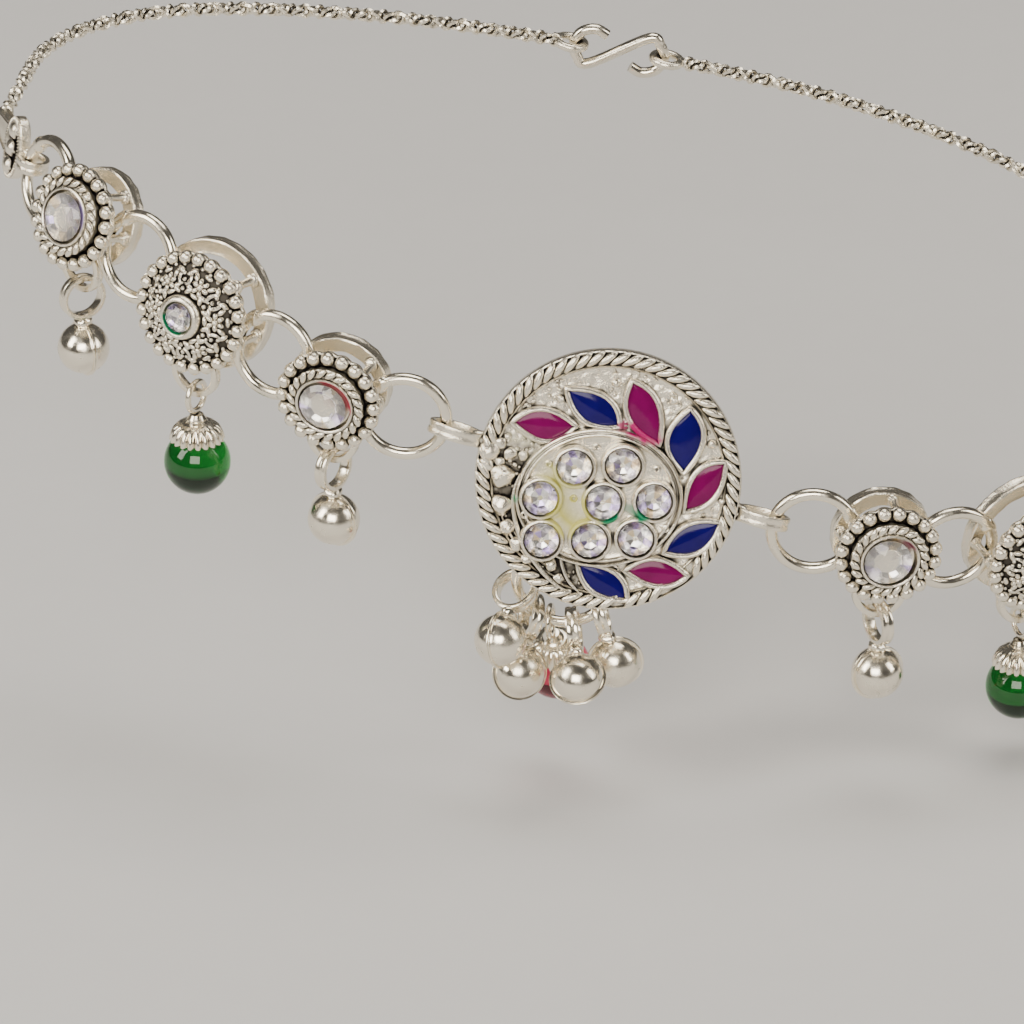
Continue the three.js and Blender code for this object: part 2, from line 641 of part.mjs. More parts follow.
function addEnd(side) {
  const i = side.stops.length - 1;
  const { at, share } = side.stops[i];
  const along = curve.getTangentAt(wrapped(share));
  const group = frame(at, along, inwardFor(along, side.endLean));
  group.updateMatrixWorld(true);
  const lugDirection = group.worldToLocal(side.stops[i - 1].at.clone());
  const plate = geometryOf(endPlate(side.sense, lugDirection)).applyMatrix4(group.matrixWorld);
  const tip = endPlateWidth / 2 + tongueLength;
  const start = group.localToWorld(new THREE.Vector3(side.sense * (tip - 2 * bite), 0, 0));
  const reach = side.sense * tip / curveLength;
  const loopShare = claspShare - side.sense * loopOffset;
  const loopAt = curve.getPointAt(loopShare);
  const x = curve.getTangentAt(claspShare);
  const y = inwardFor(x, 0);
  const loopFrame = new THREE.Matrix4().makeBasis(x, y, new THREE.Vector3().crossVectors(x, y));
  loopFrame.setPosition(loopAt);
  const towards = side.sense > 0 ? loopShare : loopShare - 1;
  const run = chain(start, share + reach, towards, loopAt, loopFrame);
  place(`end_chain_${side.name}`, geometryOf(solidOf(plate).add(run)), silver, anklet);
}

for (const side of sides) {
  side.stops.forEach(({ kind }, i) => {
    if (kind === 'small' || kind === 'large') addStation(side, i);
    if (kind === 'ring') addLink(side, i);
  });
  addEnd(side);
}
const claspAlong = curve.getTangentAt(claspShare);
const claspGroup = frame(curve.getPointAt(claspShare), claspAlong, inwardFor(claspAlong, 0));
place('clasp_hook', geometryOf(clasp()), brightSilver, claspGroup);

// Ring of bells that hangs from the strap on the medallion's back, its bells splayed as they lie
const clusterHung = [
  { name: 'bell_cluster_1', turn: 190, pull: [-0.27, -0.78, -0.57] },
  { name: 'bell_cluster_2', turn: 227, pull: [-0.2, -0.42, -0.89] },
  { name: 'red', turn: 252, pull: [0.1, 0.4, -0.91] },
  { name: 'bell_cluster_3', turn: 280, pull: [0.06, -0.84, -0.54] },
  { name: 'bell_cluster_4', turn: 315, pull: [0.26, 0.02, -0.97] },
];
const clusterCentreRadius = clusterRadius - clusterWire;
const hangerDepth = hangerRadius + plateThickness / 2 - bite;
const hangerAt = face.localToWorld(new THREE.Vector3(hangerPlace[0], hangerDepth, hangerPlace[1]));
const hangerSlack = hangerRadius - lugBand - clusterWire - hangPlay;
const clusterAt = hangerAt.clone().addScaledVector(up, -hangerSlack - clusterCentreRadius);
const clusterGroup = frame(clusterAt, across, new THREE.Vector3(0, 1, 0));
const clusterTorus = new THREE.TorusGeometry(clusterCentreRadius, clusterWire, wireSides, clusterSteps);
place('cluster_ring', geometryOf(solidOf(clusterTorus.rotateX(Math.PI / 2))), brightSilver, clusterGroup);
for (const hung of clusterHung) {
  const turn = THREE.MathUtils.degToRad(hung.turn);
  const wire = new THREE.Vector3(-Math.sin(turn), 0, Math.cos(turn));
  const spoke = new THREE.Vector3(Math.cos(turn), 0, Math.sin(turn));
  const at = clusterAt.clone().addScaledVector(spoke, clusterCentreRadius);
  const isBead = hung.name === 'red';
  const inner = isBead ? eyeRadius - 2 * eyeWire : bellLoopRadius - bellLoopBand;
  const halfWidth = isBead ? eyeWire : bellLoopWidth / 2;
  const pull = vector(hung.pull).normalize();
  const slant = Math.abs(pull.dot(wire));
  const level = Math.sqrt(1 - slant ** 2);
  const reach = inner - (clusterWire + halfWidth * slant) / level - hangPlay;
  const group = hanging(at.addScaledVector(pull, reach), pull, wire);
  if (isBead) addBead('red', group, redGlass);
  else place(hung.name, geometryOf(bell()), brightSilver, group);
}

export default anklet;
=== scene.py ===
"""Payal anklet: castings, enamel, cut stones, bells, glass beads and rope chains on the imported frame."""

import math
import random

import bmesh
import bpy
from bpy.props import FloatProperty, FloatVectorProperty, IntProperty, PointerProperty
from mathutils import Matrix, Quaternion, Vector, noise


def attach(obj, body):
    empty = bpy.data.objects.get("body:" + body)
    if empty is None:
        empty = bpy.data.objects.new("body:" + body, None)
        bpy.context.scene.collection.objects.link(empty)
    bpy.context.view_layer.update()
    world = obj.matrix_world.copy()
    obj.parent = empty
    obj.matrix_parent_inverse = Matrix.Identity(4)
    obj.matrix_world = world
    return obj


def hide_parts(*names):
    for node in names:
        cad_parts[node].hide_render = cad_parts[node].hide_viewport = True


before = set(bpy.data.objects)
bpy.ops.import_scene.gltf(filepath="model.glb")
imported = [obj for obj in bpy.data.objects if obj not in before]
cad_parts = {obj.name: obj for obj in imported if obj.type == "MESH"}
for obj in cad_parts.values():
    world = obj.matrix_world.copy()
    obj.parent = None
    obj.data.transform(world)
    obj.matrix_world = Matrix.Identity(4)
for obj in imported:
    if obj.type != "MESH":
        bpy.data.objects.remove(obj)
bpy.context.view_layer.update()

bl_info = {
    "name": "Payal anklet",
    "version": (1, 0, 0),
    "blender": (4, 5, 0),
    "location": "3D View > Sidebar > Anklet",
    "description": "Builds the fine pieces of a payal anklet on its packed frame",
    "category": "Object",
}

MM = 0.001
RIGHT = Vector((1, 0, 0))
BACK = Vector((0, 1, 0))
UP = Vector((0, 0, 1))
WELD = 0.0005          # points closer than this become one

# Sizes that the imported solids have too: lengths in millimetres, the medallion's lean and the bells' yaw in
# degrees, the place of the solder on a ring in radians
CLEARANCE = 0.12
BITE = 0.25
RING_PLAY = 0.8 * CLEARANCE
LUG_PLAY = 3.5 * CLEARANCE
HANG_PLAY = 2 * CLEARANCE
DROP_PLAY = 3 * CLEARANCE
LOOP_WIDTH = 105.2
LOOP_DEPTH = 65.1
MOUNT_HEIGHT = 6
MEDALLION_RADIUS = 11.6
MEDALLION_LEAN = 13
PLATE = 1.2
BOSS_CENTRE = (-0.8, -1.45)
BOSS_HALVES = (7.3, 6.2)
BOSS_HEIGHT = 0.75
CUP_RADIUS = 1.8
CUP_HEIGHT = 0.75
CUP_STONE = 1.5
PETAL_RIM = 0.42
LUG_HALVES = (2.5, 1.55)
LUG_BAND = 0.5
LUG_WIDTH = 1.2
LINK_RADIUS = 4.2
LINK_WIRE = 0.55
SOLDER_TURN = 0.9
POST_RADIUS = 0.36
DROP_POST_SHARE = 0.6
STATION_DEPTH = 4.6
BACK_BAND = 1.2
BACK_THICKNESS = 1.2
DISC_THICKNESS = 0.75
STONE_SINK = 0.1
STONE_DEPTH = 0.45
DROP_RADIUS = 2.4
DROP_BAND = 0.65
DROP_WIDTH = 0.85
DROP_DEPTH = 0.1
BELL_RADIUS = 2.3
BELL_FLANGE = 0.22
BELL_NECK = 0.6
BELL_LOOP_RADIUS = 2.1
BELL_LOOP_BAND = 0.5
BELL_LOOP_WIDTH = 1.1
BELL_YAW = 18
BEAD_RADIUS = 2.95
CAP_RADIUS = 2.45
CAP_HEIGHT = 1.7
CAP_WALL = 0.3
CAP_NECK_RADIUS = 0.85
CAP_NECK = 0.85
EYE_RADIUS = 1.6
EYE_WIRE = 0.27
CLUSTER_RADIUS = 4.75
CLUSTER_WIRE = 0.5
HANGER_RADIUS = 1.7
HANGER_PLACE = (-3.7, -5.2)
END_HALVES = (2.0, 3.0)
END_THICKNESS = 1.0
END_BALL = 0.9
END_BALL_PITCH = 1.75
END_LUG = 1.5
TONGUE = 3.6
TONGUE_ROOT = 1.7
CHAIN_RADIUS = 0.75
CHAIN_LOOP = 1.7
CHAIN_LOOP_WIRE = 0.4
HOOK_HALF = 4.2
HOOK_WIRE = 0.5
HOOK_TURN = 1.75

# Sizes that only this file has, in millimetres
STRAND_REACH = 10.9     # from the medallion's centre to the middle of its rope border
STRAND_FREE = 0.3       # least distance from a strand to the wire of a petal
PETAL_WIRE = 0.27
GRANULES = 230          # on the ground of the medallion, up to the next value from its centre
GRANULE_REACH = 9.95
CELL_HEIGHT = 0.3       # of the wire round a petal and its enamel above the plate
CUP_SHIFT = 0.05        # the small crystals sit a little up and to the left in their cups
STATION_SHIFT = 0.13    # those of the small stations sit off centre, and are as much smaller than their seat
COLLET_ROPE = 3.08      # radius of the twisted wire round a small station's stone
COLLET_STRANDS = 22
POST_LUMP = 0.6
EDGE_TEETH = 56         # round the rim of an end plate

# Look of the metal, the glass and the light
CAST_HOLLOW = 0.42      # gap in millimetres that is darkened on a casting: oxide, and painted shade where parts come close
CAST_ROUGHNESS = 0.27
CAST_GRIT = 0.22        # grain of the cast surface in millimetres
WIRE_HOLLOW = 0.5       # the same on drawn wire and pressed sheet
CLEAR = 1.0
MILKY = 0.86
CRYSTAL_IOR = 1.58
GLASS_IOR = 1.5
SHARP_FACETS = 1        # least angle in degrees between facets that stay crisp

# Camera and lights, in millimetres and degrees
VIEW_TARGET = (-8.35, -33.84, -8.64)
VIEW_PLACE = (-8.35, -835.75, 399.95)
VIEW_ANGLE = 5.66
FLOOR_HALF = 4000
LIGHT_TARGET = (0, -25, -6)
SOFTBOXES = (
    ("front_softbox", (-160, -950, 490), (640, 480), 8.7),
    ("left_softbox", (-520, -220, 360), (240, 420), 2.8),
    ("right_softbox", (560, -160, 300), (200, 400), 1.4),
    ("top_softbox", (60, 120, 560), (420, 260), 1.7),
)
ROOM_LIGHT = 0.3

STATIONS = {
    "small": {"back": 4.3, "disc": 4.8, "balls": 20, "collet": 2.85, "rise": 1.1, "stone": 2.25},
    "large": {"back": 5.75, "disc": 5.6, "balls": 24, "collet": 2.0, "rise": 2.1, "stone": 1.3},
}
ROUTE = (
    (0, 0, 0), (24.3, -0.1, -6.3), (38, 4.7, -8.5), (48.3, 13.5, -8.6), (52.8, 28, -7), (50.5, 43, -3),
    (41, 55, 2), (23, 62.5, 7), (0, 65, 11.5), (-22, 63.5, 15.5), (-40, 57.5, 18.5), (-49.3, 48.5, 19.7),
    (-52.2, 38, 19.9), (-52.4, 29.6, 18.5), (-46.1, 18.2, 17.2), (-35.6, 9.2, 12.5), (-23.8, 2.4, 7.6),
)
HOLLOW_CENTRE = Vector((0, LOOP_DEPTH / 2, MOUNT_HEIGHT))
SIDES = (
    {"name": "right", "sense": 1, "leans": (-3, -12, -8), "end": 0, "top_post": 88},
    {"name": "left", "sense": -1, "leans": (-3, 9, 19), "end": 10, "top_post": 58},
)
CLUSTER_HUNG = (
    ("bell_cluster_1", 190, (-0.27, -0.78, -0.57)),
    ("bell_cluster_2", 227, (-0.2, -0.42, -0.89)),
    ("red", 252, (0.1, 0.4, -0.91)),
    ("bell_cluster_3", 280, (0.06, -0.84, -0.54)),
    ("bell_cluster_4", 315, (0.26, 0.02, -0.97)),
)

# Pattern of the medallion, sideways and up from its centre: tips and sides of the petals, against the clock
PETALS = (
    (((-8.0, 5.2), (-3.1, 4.9)), ((-5.4, 3.7), (-5.7, 6.2)), "rose"),
    (((-3.35, 8.0), (0.75, 5.0)), ((-2.0, 5.5), (-0.3, 7.3)), "blue"),
    (((2.2, 8.6), (4.3, 3.5)), ((1.9, 5.7), (4.15, 6.8)), "rose"),
    (((7.1, 6.1), (6.6, 1.0)), ((5.3, 3.6), (8.05, 3.7)), "blue"),
    (((10.0, 1.4), (6.8, -2.5)), ((7.7, 0.5), (9.1, -1.4)), "rose"),
    (((9.5, -3.9), (5.1, -6.3)), ((6.8, -4.2), (7.9, -6.2)), "blue"),
    (((6.6, -8.5), (1.8, -8.1)), ((4.2, -7.2), (4.4, -9.3)), "rose"),
    (((1.4, -10.5), (-2.4, -7.6)), ((0.5, -8.4), (-1.2, -9.8)), "blue"),
)
CUPS = (
    (-2.9, 1.4), (1.3, 1.55), (-5.85, -1.35), (-0.4, -1.75), (4.0, -1.65), (-5.75, -5.1), (-1.6, -5.15),
    (2.4, -5.0),
)
# Balls and lumps of metal on the ground: place and radius
NUGGETS = (
    (-9.2, 0.4, 1.12), (-9.25, -2.2, 1.05), (-8.75, -4.2, 0.8), (-8.0, -5.7, 0.66), (-7.1, -7.0, 0.6),
    (-5.0, -7.6, 0.63), (-4.3, -8.8, 0.5), (0.7, 8.7, 0.44), (9.0, 3.2, 0.44), (-4.1, 7.3, 0.36),
    (5.7, 7.1, 0.4), (-8.5, 2.4, 0.62), (-7.35, 2.2, 0.5), (-8.7, 3.9, 0.35), (7.9, -7.3, 0.33),
    (4.9, -5.0, 0.3), (9.9, -1.9, 0.35), (-10.3, 2.7, 0.95), (-9.4, 3.3, 0.6), (-10.6, 1.5, 0.7),
    (-9.5, 1.7, 0.5),
)
DIMPLES = (
    (-1.0, 3.1), (4.2, 1.1), (-5.2, 1.6), (-7.3, -2.95), (0.6, -8.0), (-3.0, -1.5), (5.0, -4.2), (1.9, -3.3),
)
# Wires that run down from the raised field to the rope border
BOSS_TAIL = (
    (-7.2, 1.3), (-7.95, -0.2), (-8.25, -1.8), (-8.05, -3.6), (-7.4, -5.6), (-6.2, -7.5), (-4.8, -9.1),
    (-3.2, -10.1),
)
INNER_TAIL = ((-4.2, -6.4), (-3.95, -7.7), (-3.4, -9.0), (-2.5, -10.0))


def linear(code):
    """Turn an sRGB hex colour to the linear values that shaders take."""
    parts = [int(code[i:i + 2], 16) / 255 for i in (1, 3, 5)]
    return tuple(part / 12.92 if part <= 0.04045 else ((part + 0.055) / 1.055) ** 2.4 for part in parts)


# Places along the anklet

class Route:
    """Closed curve through the chosen points, measured by its length."""

    divisions = 200

    def __init__(self, points):
        self.points = points
        self.lengths = [0.0]
        last = self.at_step(0)
        for i in range(1, self.divisions + 1):
            here = self.at_step(i / self.divisions)
            self.lengths.append(self.lengths[-1] + (here - last).length)
            last = here
        self.length = self.lengths[-1]

    def at_step(self, step):
        place = len(self.points) * step
        whole = math.floor(place)
        weight = place - whole
        before, start, end, after = (self.points[(whole + i) % len(self.points)] for i in (-1, 0, 1, 2))
        gaps = [math.sqrt((b - a).length) for a, b in ((before, start), (start, end), (end, after))]
        leave = (start - before) / gaps[0] - (end - before) / (gaps[0] + gaps[1]) + (end - start) / gaps[1]
        arrive = (end - start) / gaps[1] - (after - start) / (gaps[1] + gaps[2]) + (after - end) / gaps[2]
        leave *= gaps[1]
        arrive *= gaps[1]
        square = -3 * start + 3 * end - 2 * leave - arrive
        cube = 2 * start - 2 * end + leave + arrive
        return start + leave * weight + square * weight ** 2 + cube * weight ** 3

    def step_of(self, share):
        target = (share % 1) * self.length
        i = max(k for k in range(self.divisions) if self.lengths[k] <= target)
        return (i + (target - self.lengths[i]) / (self.lengths[i + 1] - self.lengths[i])) / self.divisions

    def at(self, share):
        return self.at_step(self.step_of(share))

    def tangent(self, share):
        step = self.step_of(share)
        return (self.at_step(min(step + 1e-4, 1)) - self.at_step(max(step - 1e-4, 0))).normalized()

    def march(self, start, share, distance, sense):
        near = far = share
        while (self.at(far) - start).length < distance:
            far += sense * 0.5 / self.length
        for _ in range(30):
            half = (near + far) / 2
            if (self.at(half) - start).length < distance:
                near = half
            else:
                far = half
        return far


def bench(origin, along, inward):
    """Place whose axes run along the anklet, inwards and up."""
    x = along.normalized()
    z = x.cross(inward).normalized()
    y = z.cross(x)
    place = Matrix((x, y, z)).transposed().to_4x4()
    place.translation = origin
    return place


def inward_for(along, lean):
    """Inward direction of a piece that runs along and leans up by some degrees."""
    return Quaternion(along, math.radians(-lean)) @ UP.cross(along).normalized()


def hanging(origin, pull, wire):
    """Place of a piece that hangs: its height against the pull, its width along the wire that holds it."""
    z = -pull.normalized()
    y = z.cross(wire).normalized()
    return bench(origin, y.cross(z), y)


def span_of(values):
    return max(values) - min(values)


WIDER = LOOP_WIDTH / span_of([x for x, y, z in ROUTE])
DEEPER = LOOP_DEPTH / span_of([y for x, y, z in ROUTE])
ROUTE_LINE = Route([Vector((x * WIDER, y * DEEPER, z)) - HOLLOW_CENTRE for x, y, z in ROUTE])
LINK_CENTRE = LINK_RADIUS - LINK_WIRE
CAP_CROWN = -(EYE_RADIUS + CAP_NECK)
BEAD_HOLLOW = BEAD_RADIUS + CLEARANCE
BEAD_CENTRE = CAP_CROWN - CAP_HEIGHT - math.sqrt(BEAD_HOLLOW ** 2 - (CAP_RADIUS - CAP_WALL) ** 2)
DISC_FACE = -STATION_DEPTH / 2
BACK_FACE = STATION_DEPTH / 2


def lay_out(sense):
    """Centres of the rings, stations and end plate on one side, from the medallion outwards."""
    play = LINK_RADIUS - 2 * LINK_WIRE - POST_RADIUS - RING_PLAY
    small = play + STATIONS["small"]["back"] - BACK_BAND / 2
    large = play + STATIONS["large"]["back"] - BACK_BAND / 2
    hold = -LUG_BAND - LINK_WIRE - LUG_PLAY - BITE + LINK_CENTRE
    distances = (
        ("ring", MEDALLION_RADIUS + 2 * LUG_HALVES[0] + hold), ("small", small), ("ring", small),
        ("large", large), ("ring", large), ("small", small), ("ring", small),
        ("end", END_HALVES[0] + 2 * END_LUG + hold),
    )
    stops = [("medallion", ROUTE_LINE.at(0), 0)]
    for kind, distance in distances:
        share = ROUTE_LINE.march(stops[-1][1], stops[-1][2], distance, sense)
        stops.append((kind, ROUTE_LINE.at(share), share))
    return stops


STOPS = {side["name"]: lay_out(side["sense"]) for side in SIDES}
FACE = bench(ROUTE_LINE.at(0), RIGHT, inward_for(RIGHT, MEDALLION_LEAN))


def run_of(side, i):
    """Direction of the anklet at a ring or station."""
    stops = STOPS[side["name"]]
    return ((stops[i + 1][1] - stops[i - 1][1]) * side["sense"]).normalized()


def station_place(side, number):
    along = run_of(side, 2 * number)
    return bench(STOPS[side["name"]][2 * number][1], along, inward_for(along, side["leans"][number - 1]))


def link_place(side, number):
    leans = (0, *side["leans"], side["end"])
    along = run_of(side, 2 * number - 1)
    lean = (leans[number - 1] + leans[number]) / 2
    return bench(STOPS[side["name"]][2 * number - 1][1], along, inward_for(along, lean))


def station_kind(number):
    return "large" if number == 2 else "small"


def drop_turn(place):
    plumb = place.inverted() @ (place.translation - UP)
    return -math.pi / 2 + DROP_POST_SHARE * (math.atan2(plumb.z, plumb.x) + math.pi / 2)


def drop_places(side, number):
    """Places of a station's drop ring and of what hangs in it."""
    place = station_place(side, number)
    kind = station_kind(number)
    post_axis = place.to_3x3() @ BACK
    tilt = abs(post_axis.z)
    reach = STATIONS[kind]["back"] - BACK_BAND / 2
    turn = drop_turn(place)
    depth = DROP_DEPTH + tilt * DROP_RADIUS / 2
    post = place @ Vector((math.cos(turn) * reach, depth, math.sin(turn) * reach))
    slack = DROP_RADIUS - DROP_BAND - POST_RADIUS - CLEARANCE - DROP_WIDTH * tilt
    across = post_axis.cross(UP)
    centre = post - UP * slack
    inner = EYE_RADIUS - 2 * EYE_WIRE if kind == "large" else BELL_LOOP_RADIUS - BELL_LOOP_BAND
    below = centre - UP * (DROP_RADIUS - DROP_BAND + inner - DROP_PLAY)
    yaw = 0 if kind == "large" else side["sense"] * BELL_YAW
    wire = Quaternion(UP, math.radians(yaw)) @ across
    return hanging(centre, -UP, across), hanging(below, -UP, wire)


def cluster_places():
    """Place of the ring of bells and of each piece that hangs from it."""
    hanger = FACE @ Vector((HANGER_PLACE[0], HANGER_RADIUS + PLATE / 2 - BITE, HANGER_PLACE[1]))
    reach = CLUSTER_RADIUS - CLUSTER_WIRE
    centre = hanger - UP * (HANGER_RADIUS - LUG_BAND - CLUSTER_WIRE - HANG_PLAY + reach)
    hung = {}
    for name, degrees, pull in CLUSTER_HUNG:
        turn = math.radians(degrees)
        wire = Vector((-math.sin(turn), 0, math.cos(turn)))
        at = centre + Vector((math.cos(turn), 0, math.sin(turn))) * reach
        bead = name == "red"
        inner = EYE_RADIUS - 2 * EYE_WIRE if bead else BELL_LOOP_RADIUS - BELL_LOOP_BAND
        half = EYE_WIRE if bead else BELL_LOOP_WIDTH / 2
        pull = Vector(pull).normalized()
        slant = abs(pull.dot(wire))
        drop = inner - (CLUSTER_WIRE + half * slant) / math.sqrt(1 - slant ** 2) - HANG_PLAY
        hung[name] = hanging(at + pull * drop, pull, wire)
    return bench(centre, RIGHT, BACK), hung


# Bench tools: every shape is made in millimetres, its face towards the front, which is -Y

def turned(profile, steps, closed=True):
    """Profile of radius and depth pairs spun once round the depth axis."""
    piece = bmesh.new()
    verts = [piece.verts.new((radius, depth, 0)) for radius, depth in profile]
    pairs = list(zip(verts, verts[1:]))
    if closed:
        pairs.append((verts[-1], verts[0]))
    edges = [piece.edges.new(pair) for pair in pairs]
    bmesh.ops.spin(piece, geom=verts + edges, axis=(0, 1, 0), angle=math.tau, steps=steps, use_merge=True)
    bmesh.ops.remove_doubles(piece, verts=piece.verts, dist=WELD)
    bmesh.ops.dissolve_degenerate(piece, edges=piece.edges, dist=WELD)
    bmesh.ops.recalc_face_normals(piece, faces=piece.faces)
    return piece


def round_section(centre, depth, radius, sides):
    """Closed round profile of a wire ring."""
    turns = [i / sides * math.tau for i in range(sides)]
    return [(centre + math.cos(turn) * radius, depth + math.sin(turn) * radius) for turn in turns]


def strap_section(radius, band, width, groove=0.06):
    """Closed profile of a strap ring whose outside has two ridges with a groove between them."""
    half, inner = width / 2, radius - band
    soft = min(band, width) * 0.28
    return [
        (inner + soft, -half), (inner + soft * 0.3, -half + soft * 0.3), (inner, -half + soft),
        (inner, half - soft), (inner + soft * 0.3, half - soft * 0.3), (inner + soft, half),
        (radius - soft, half), (radius - soft * 0.3, half - soft * 0.3), (radius, half - soft * 1.2),
        (radius - groove * 0.4, half * 0.28), (radius - groove * 1.6, 0),
        (radius - groove * 0.4, -half * 0.28), (radius, -half + soft * 1.2),
        (radius - soft * 0.3, -half + soft * 0.3), (radius - soft, -half),
    ]


def ball(radius, turns, rows):
    piece = bmesh.new()
    bmesh.ops.create_uvsphere(piece, u_segments=turns, v_segments=rows, radius=radius)
    return piece


def path_places(path, closed):
    """Place of a wire's section at each point of its path, its width across the depth axis."""
    places = []
    count = len(path)
    for i, point in enumerate(path):
        ahead = path[(i + 1) % count] if closed or i + 1 < count else point
        behind = path[i - 1] if closed or i > 0 else point
        z = (ahead - behind).normalized()
        x = BACK.cross(z).normalized()
        place = Matrix((x, z.cross(x), z)).transposed().to_4x4()
        place.translation = point
        places.append(place)
    return places + places[:1] if closed else places


def drawn_wire(path, radius, sides, closed=False, swell=None, flat=1.0):
    """Wire drawn along a path: swell is each point's share of the radius, flat its height to its width."""
    places = path_places(path, closed)
    shares = swell or [1.0] * len(places)
    places = [place @ Matrix.Diagonal((share, share * flat, 1, 1)) for place, share in zip(places, shares)]
    piece = bmesh.new()
    made = bmesh.ops.create_circle(piece, cap_ends=False, radius=radius, segments=sides, matrix=places[0])
    edges = list({edge for vert in made["verts"] for edge in vert.link_edges})
    for before, after in zip(places, places[1:]):
        grown = bmesh.ops.extrude_edge_only(piece, edges=edges)["geom"]
        ring = [item for item in grown if isinstance(item, bmesh.types.BMVert)]
        edges = [item for item in grown if isinstance(item, bmesh.types.BMEdge) and item.is_boundary]
        bmesh.ops.transform(piece, matrix=after @ before.inverted(), verts=ring)
    if closed:
        bmesh.ops.remove_doubles(piece, verts=piece.verts, dist=WELD)
    else:
        bmesh.ops.holes_fill(piece, edges=piece.edges, sides=0)
    bmesh.ops.recalc_face_normals(piece, faces=piece.faces)
    return piece


def smooth_path(points, steps):
    """Points of a smooth line through the given ones."""
    path = []
    for i in range(len(points) - 1):
        before = points[max(i - 1, 0)]
        after = points[min(i + 2, len(points) - 1)]
        start, end = points[i], points[i + 1]
        for k in range(steps):
            t = k / steps
            square = 2 * before - 5 * start + 4 * end - after
            cube = 3 * start - before - 3 * end + after
            path.append(0.5 * (2 * start + (end - before) * t + square * t ** 2 + cube * t ** 3))
    return path + [points[-1]]


def join(casting, piece, places=(Matrix.Identity(4),)):
    """Cast or solder a piece on at each of its places, and free it."""
    pattern = bpy.data.meshes.new("pattern")
    piece.to_mesh(pattern)
    piece.free()
    for place in places:
        copy = pattern.copy()
        copy.transform(place)
        casting.from_mesh(copy)
        bpy.data.meshes.remove(copy)
    bpy.data.meshes.remove(pattern)


def on_face(x, z, height, level, turn=0.0):
    """Place on a face plane: sideways, up and out from its level, turned against the clock."""
    return Matrix.Translation((x, level - height, z)) @ Matrix.Rotation(-turn, 4, "Y")


def round_face(radius, turn, height, level, twist=0.0):
    return on_face(math.cos(turn) * radius, math.sin(turn) * radius, height, level, turn + twist)


def roughen(piece, amount, grain):
    """Push the surface in and out a little, as solder and cast metal are."""
    for vert in piece.verts:
        vert.co += vert.normal * noise.noise(vert.co / grain) * amount


def paint(mesh, name, kind, values):
    """Store a number or a colour for each point of a mesh."""
    layer = mesh.attributes.new(name, kind, "POINT")
    layer.data.foreach_set("value" if kind == "FLOAT" else "color", values)


def deliver(name, piece, place, materials, slot, replaced=(), sharp=38, tarnish=None, stain=None):
    """Move a finished piece from the bench to its place on the anklet."""
    mesh = bpy.data.meshes.new(name)
    piece.to_mesh(mesh)
    piece.free()
    if tarnish:
        paint(mesh, "tarnish", "FLOAT", [tarnish(vert.co) for vert in mesh.vertices])
    if stain:
        tints = [stain(vert.co) for vert in mesh.vertices]
        paint(mesh, "stain", "FLOAT_COLOR", [part for tint in tints for part in rgba(tint[:3])])
        paint(mesh, "stain_cover", "FLOAT", [tint[3] for tint in tints])
    mesh.transform(Matrix.Scale(MM, 4) @ place)
    for material in materials:
        mesh.materials.append(material)
    mesh.shade_smooth()
    mesh.set_sharp_from_angle(angle=math.radians(sharp))
    made = bpy.data.objects.new(name, mesh)
    bpy.context.scene.collection.objects.link(made)
    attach(made, "root")
    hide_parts(*replaced)


# Finishes

def add_node(tree, kind, settings=None, links=None):
    """Add a node with its settings, by name of property or socket, and the sockets that feed it."""
    made = tree.nodes.new(kind)
    for name, value in (settings or {}).items():
        if isinstance(name, int) or name in made.inputs:
            made.inputs[name].default_value = value
        else:
            setattr(made, name, value)
    for name, source in (links or {}).items():
        tree.links.new(source, made.inputs[name])
    return made


def new_finish(name, settings):
    """A material with its shader, and the tree and coordinates that its pattern uses."""
    finish = bpy.data.materials.new(name)
    finish.use_nodes = True
    tree = finish.node_tree
    shader = tree.nodes["Principled BSDF"]
    for socket, value in settings.items():
        shader.inputs[socket].default_value = value
    where = add_node(tree, "ShaderNodeTexCoord").outputs["Object"]
    return finish, tree, shader, where


def rgba(colour):
    return (*colour, 1.0)


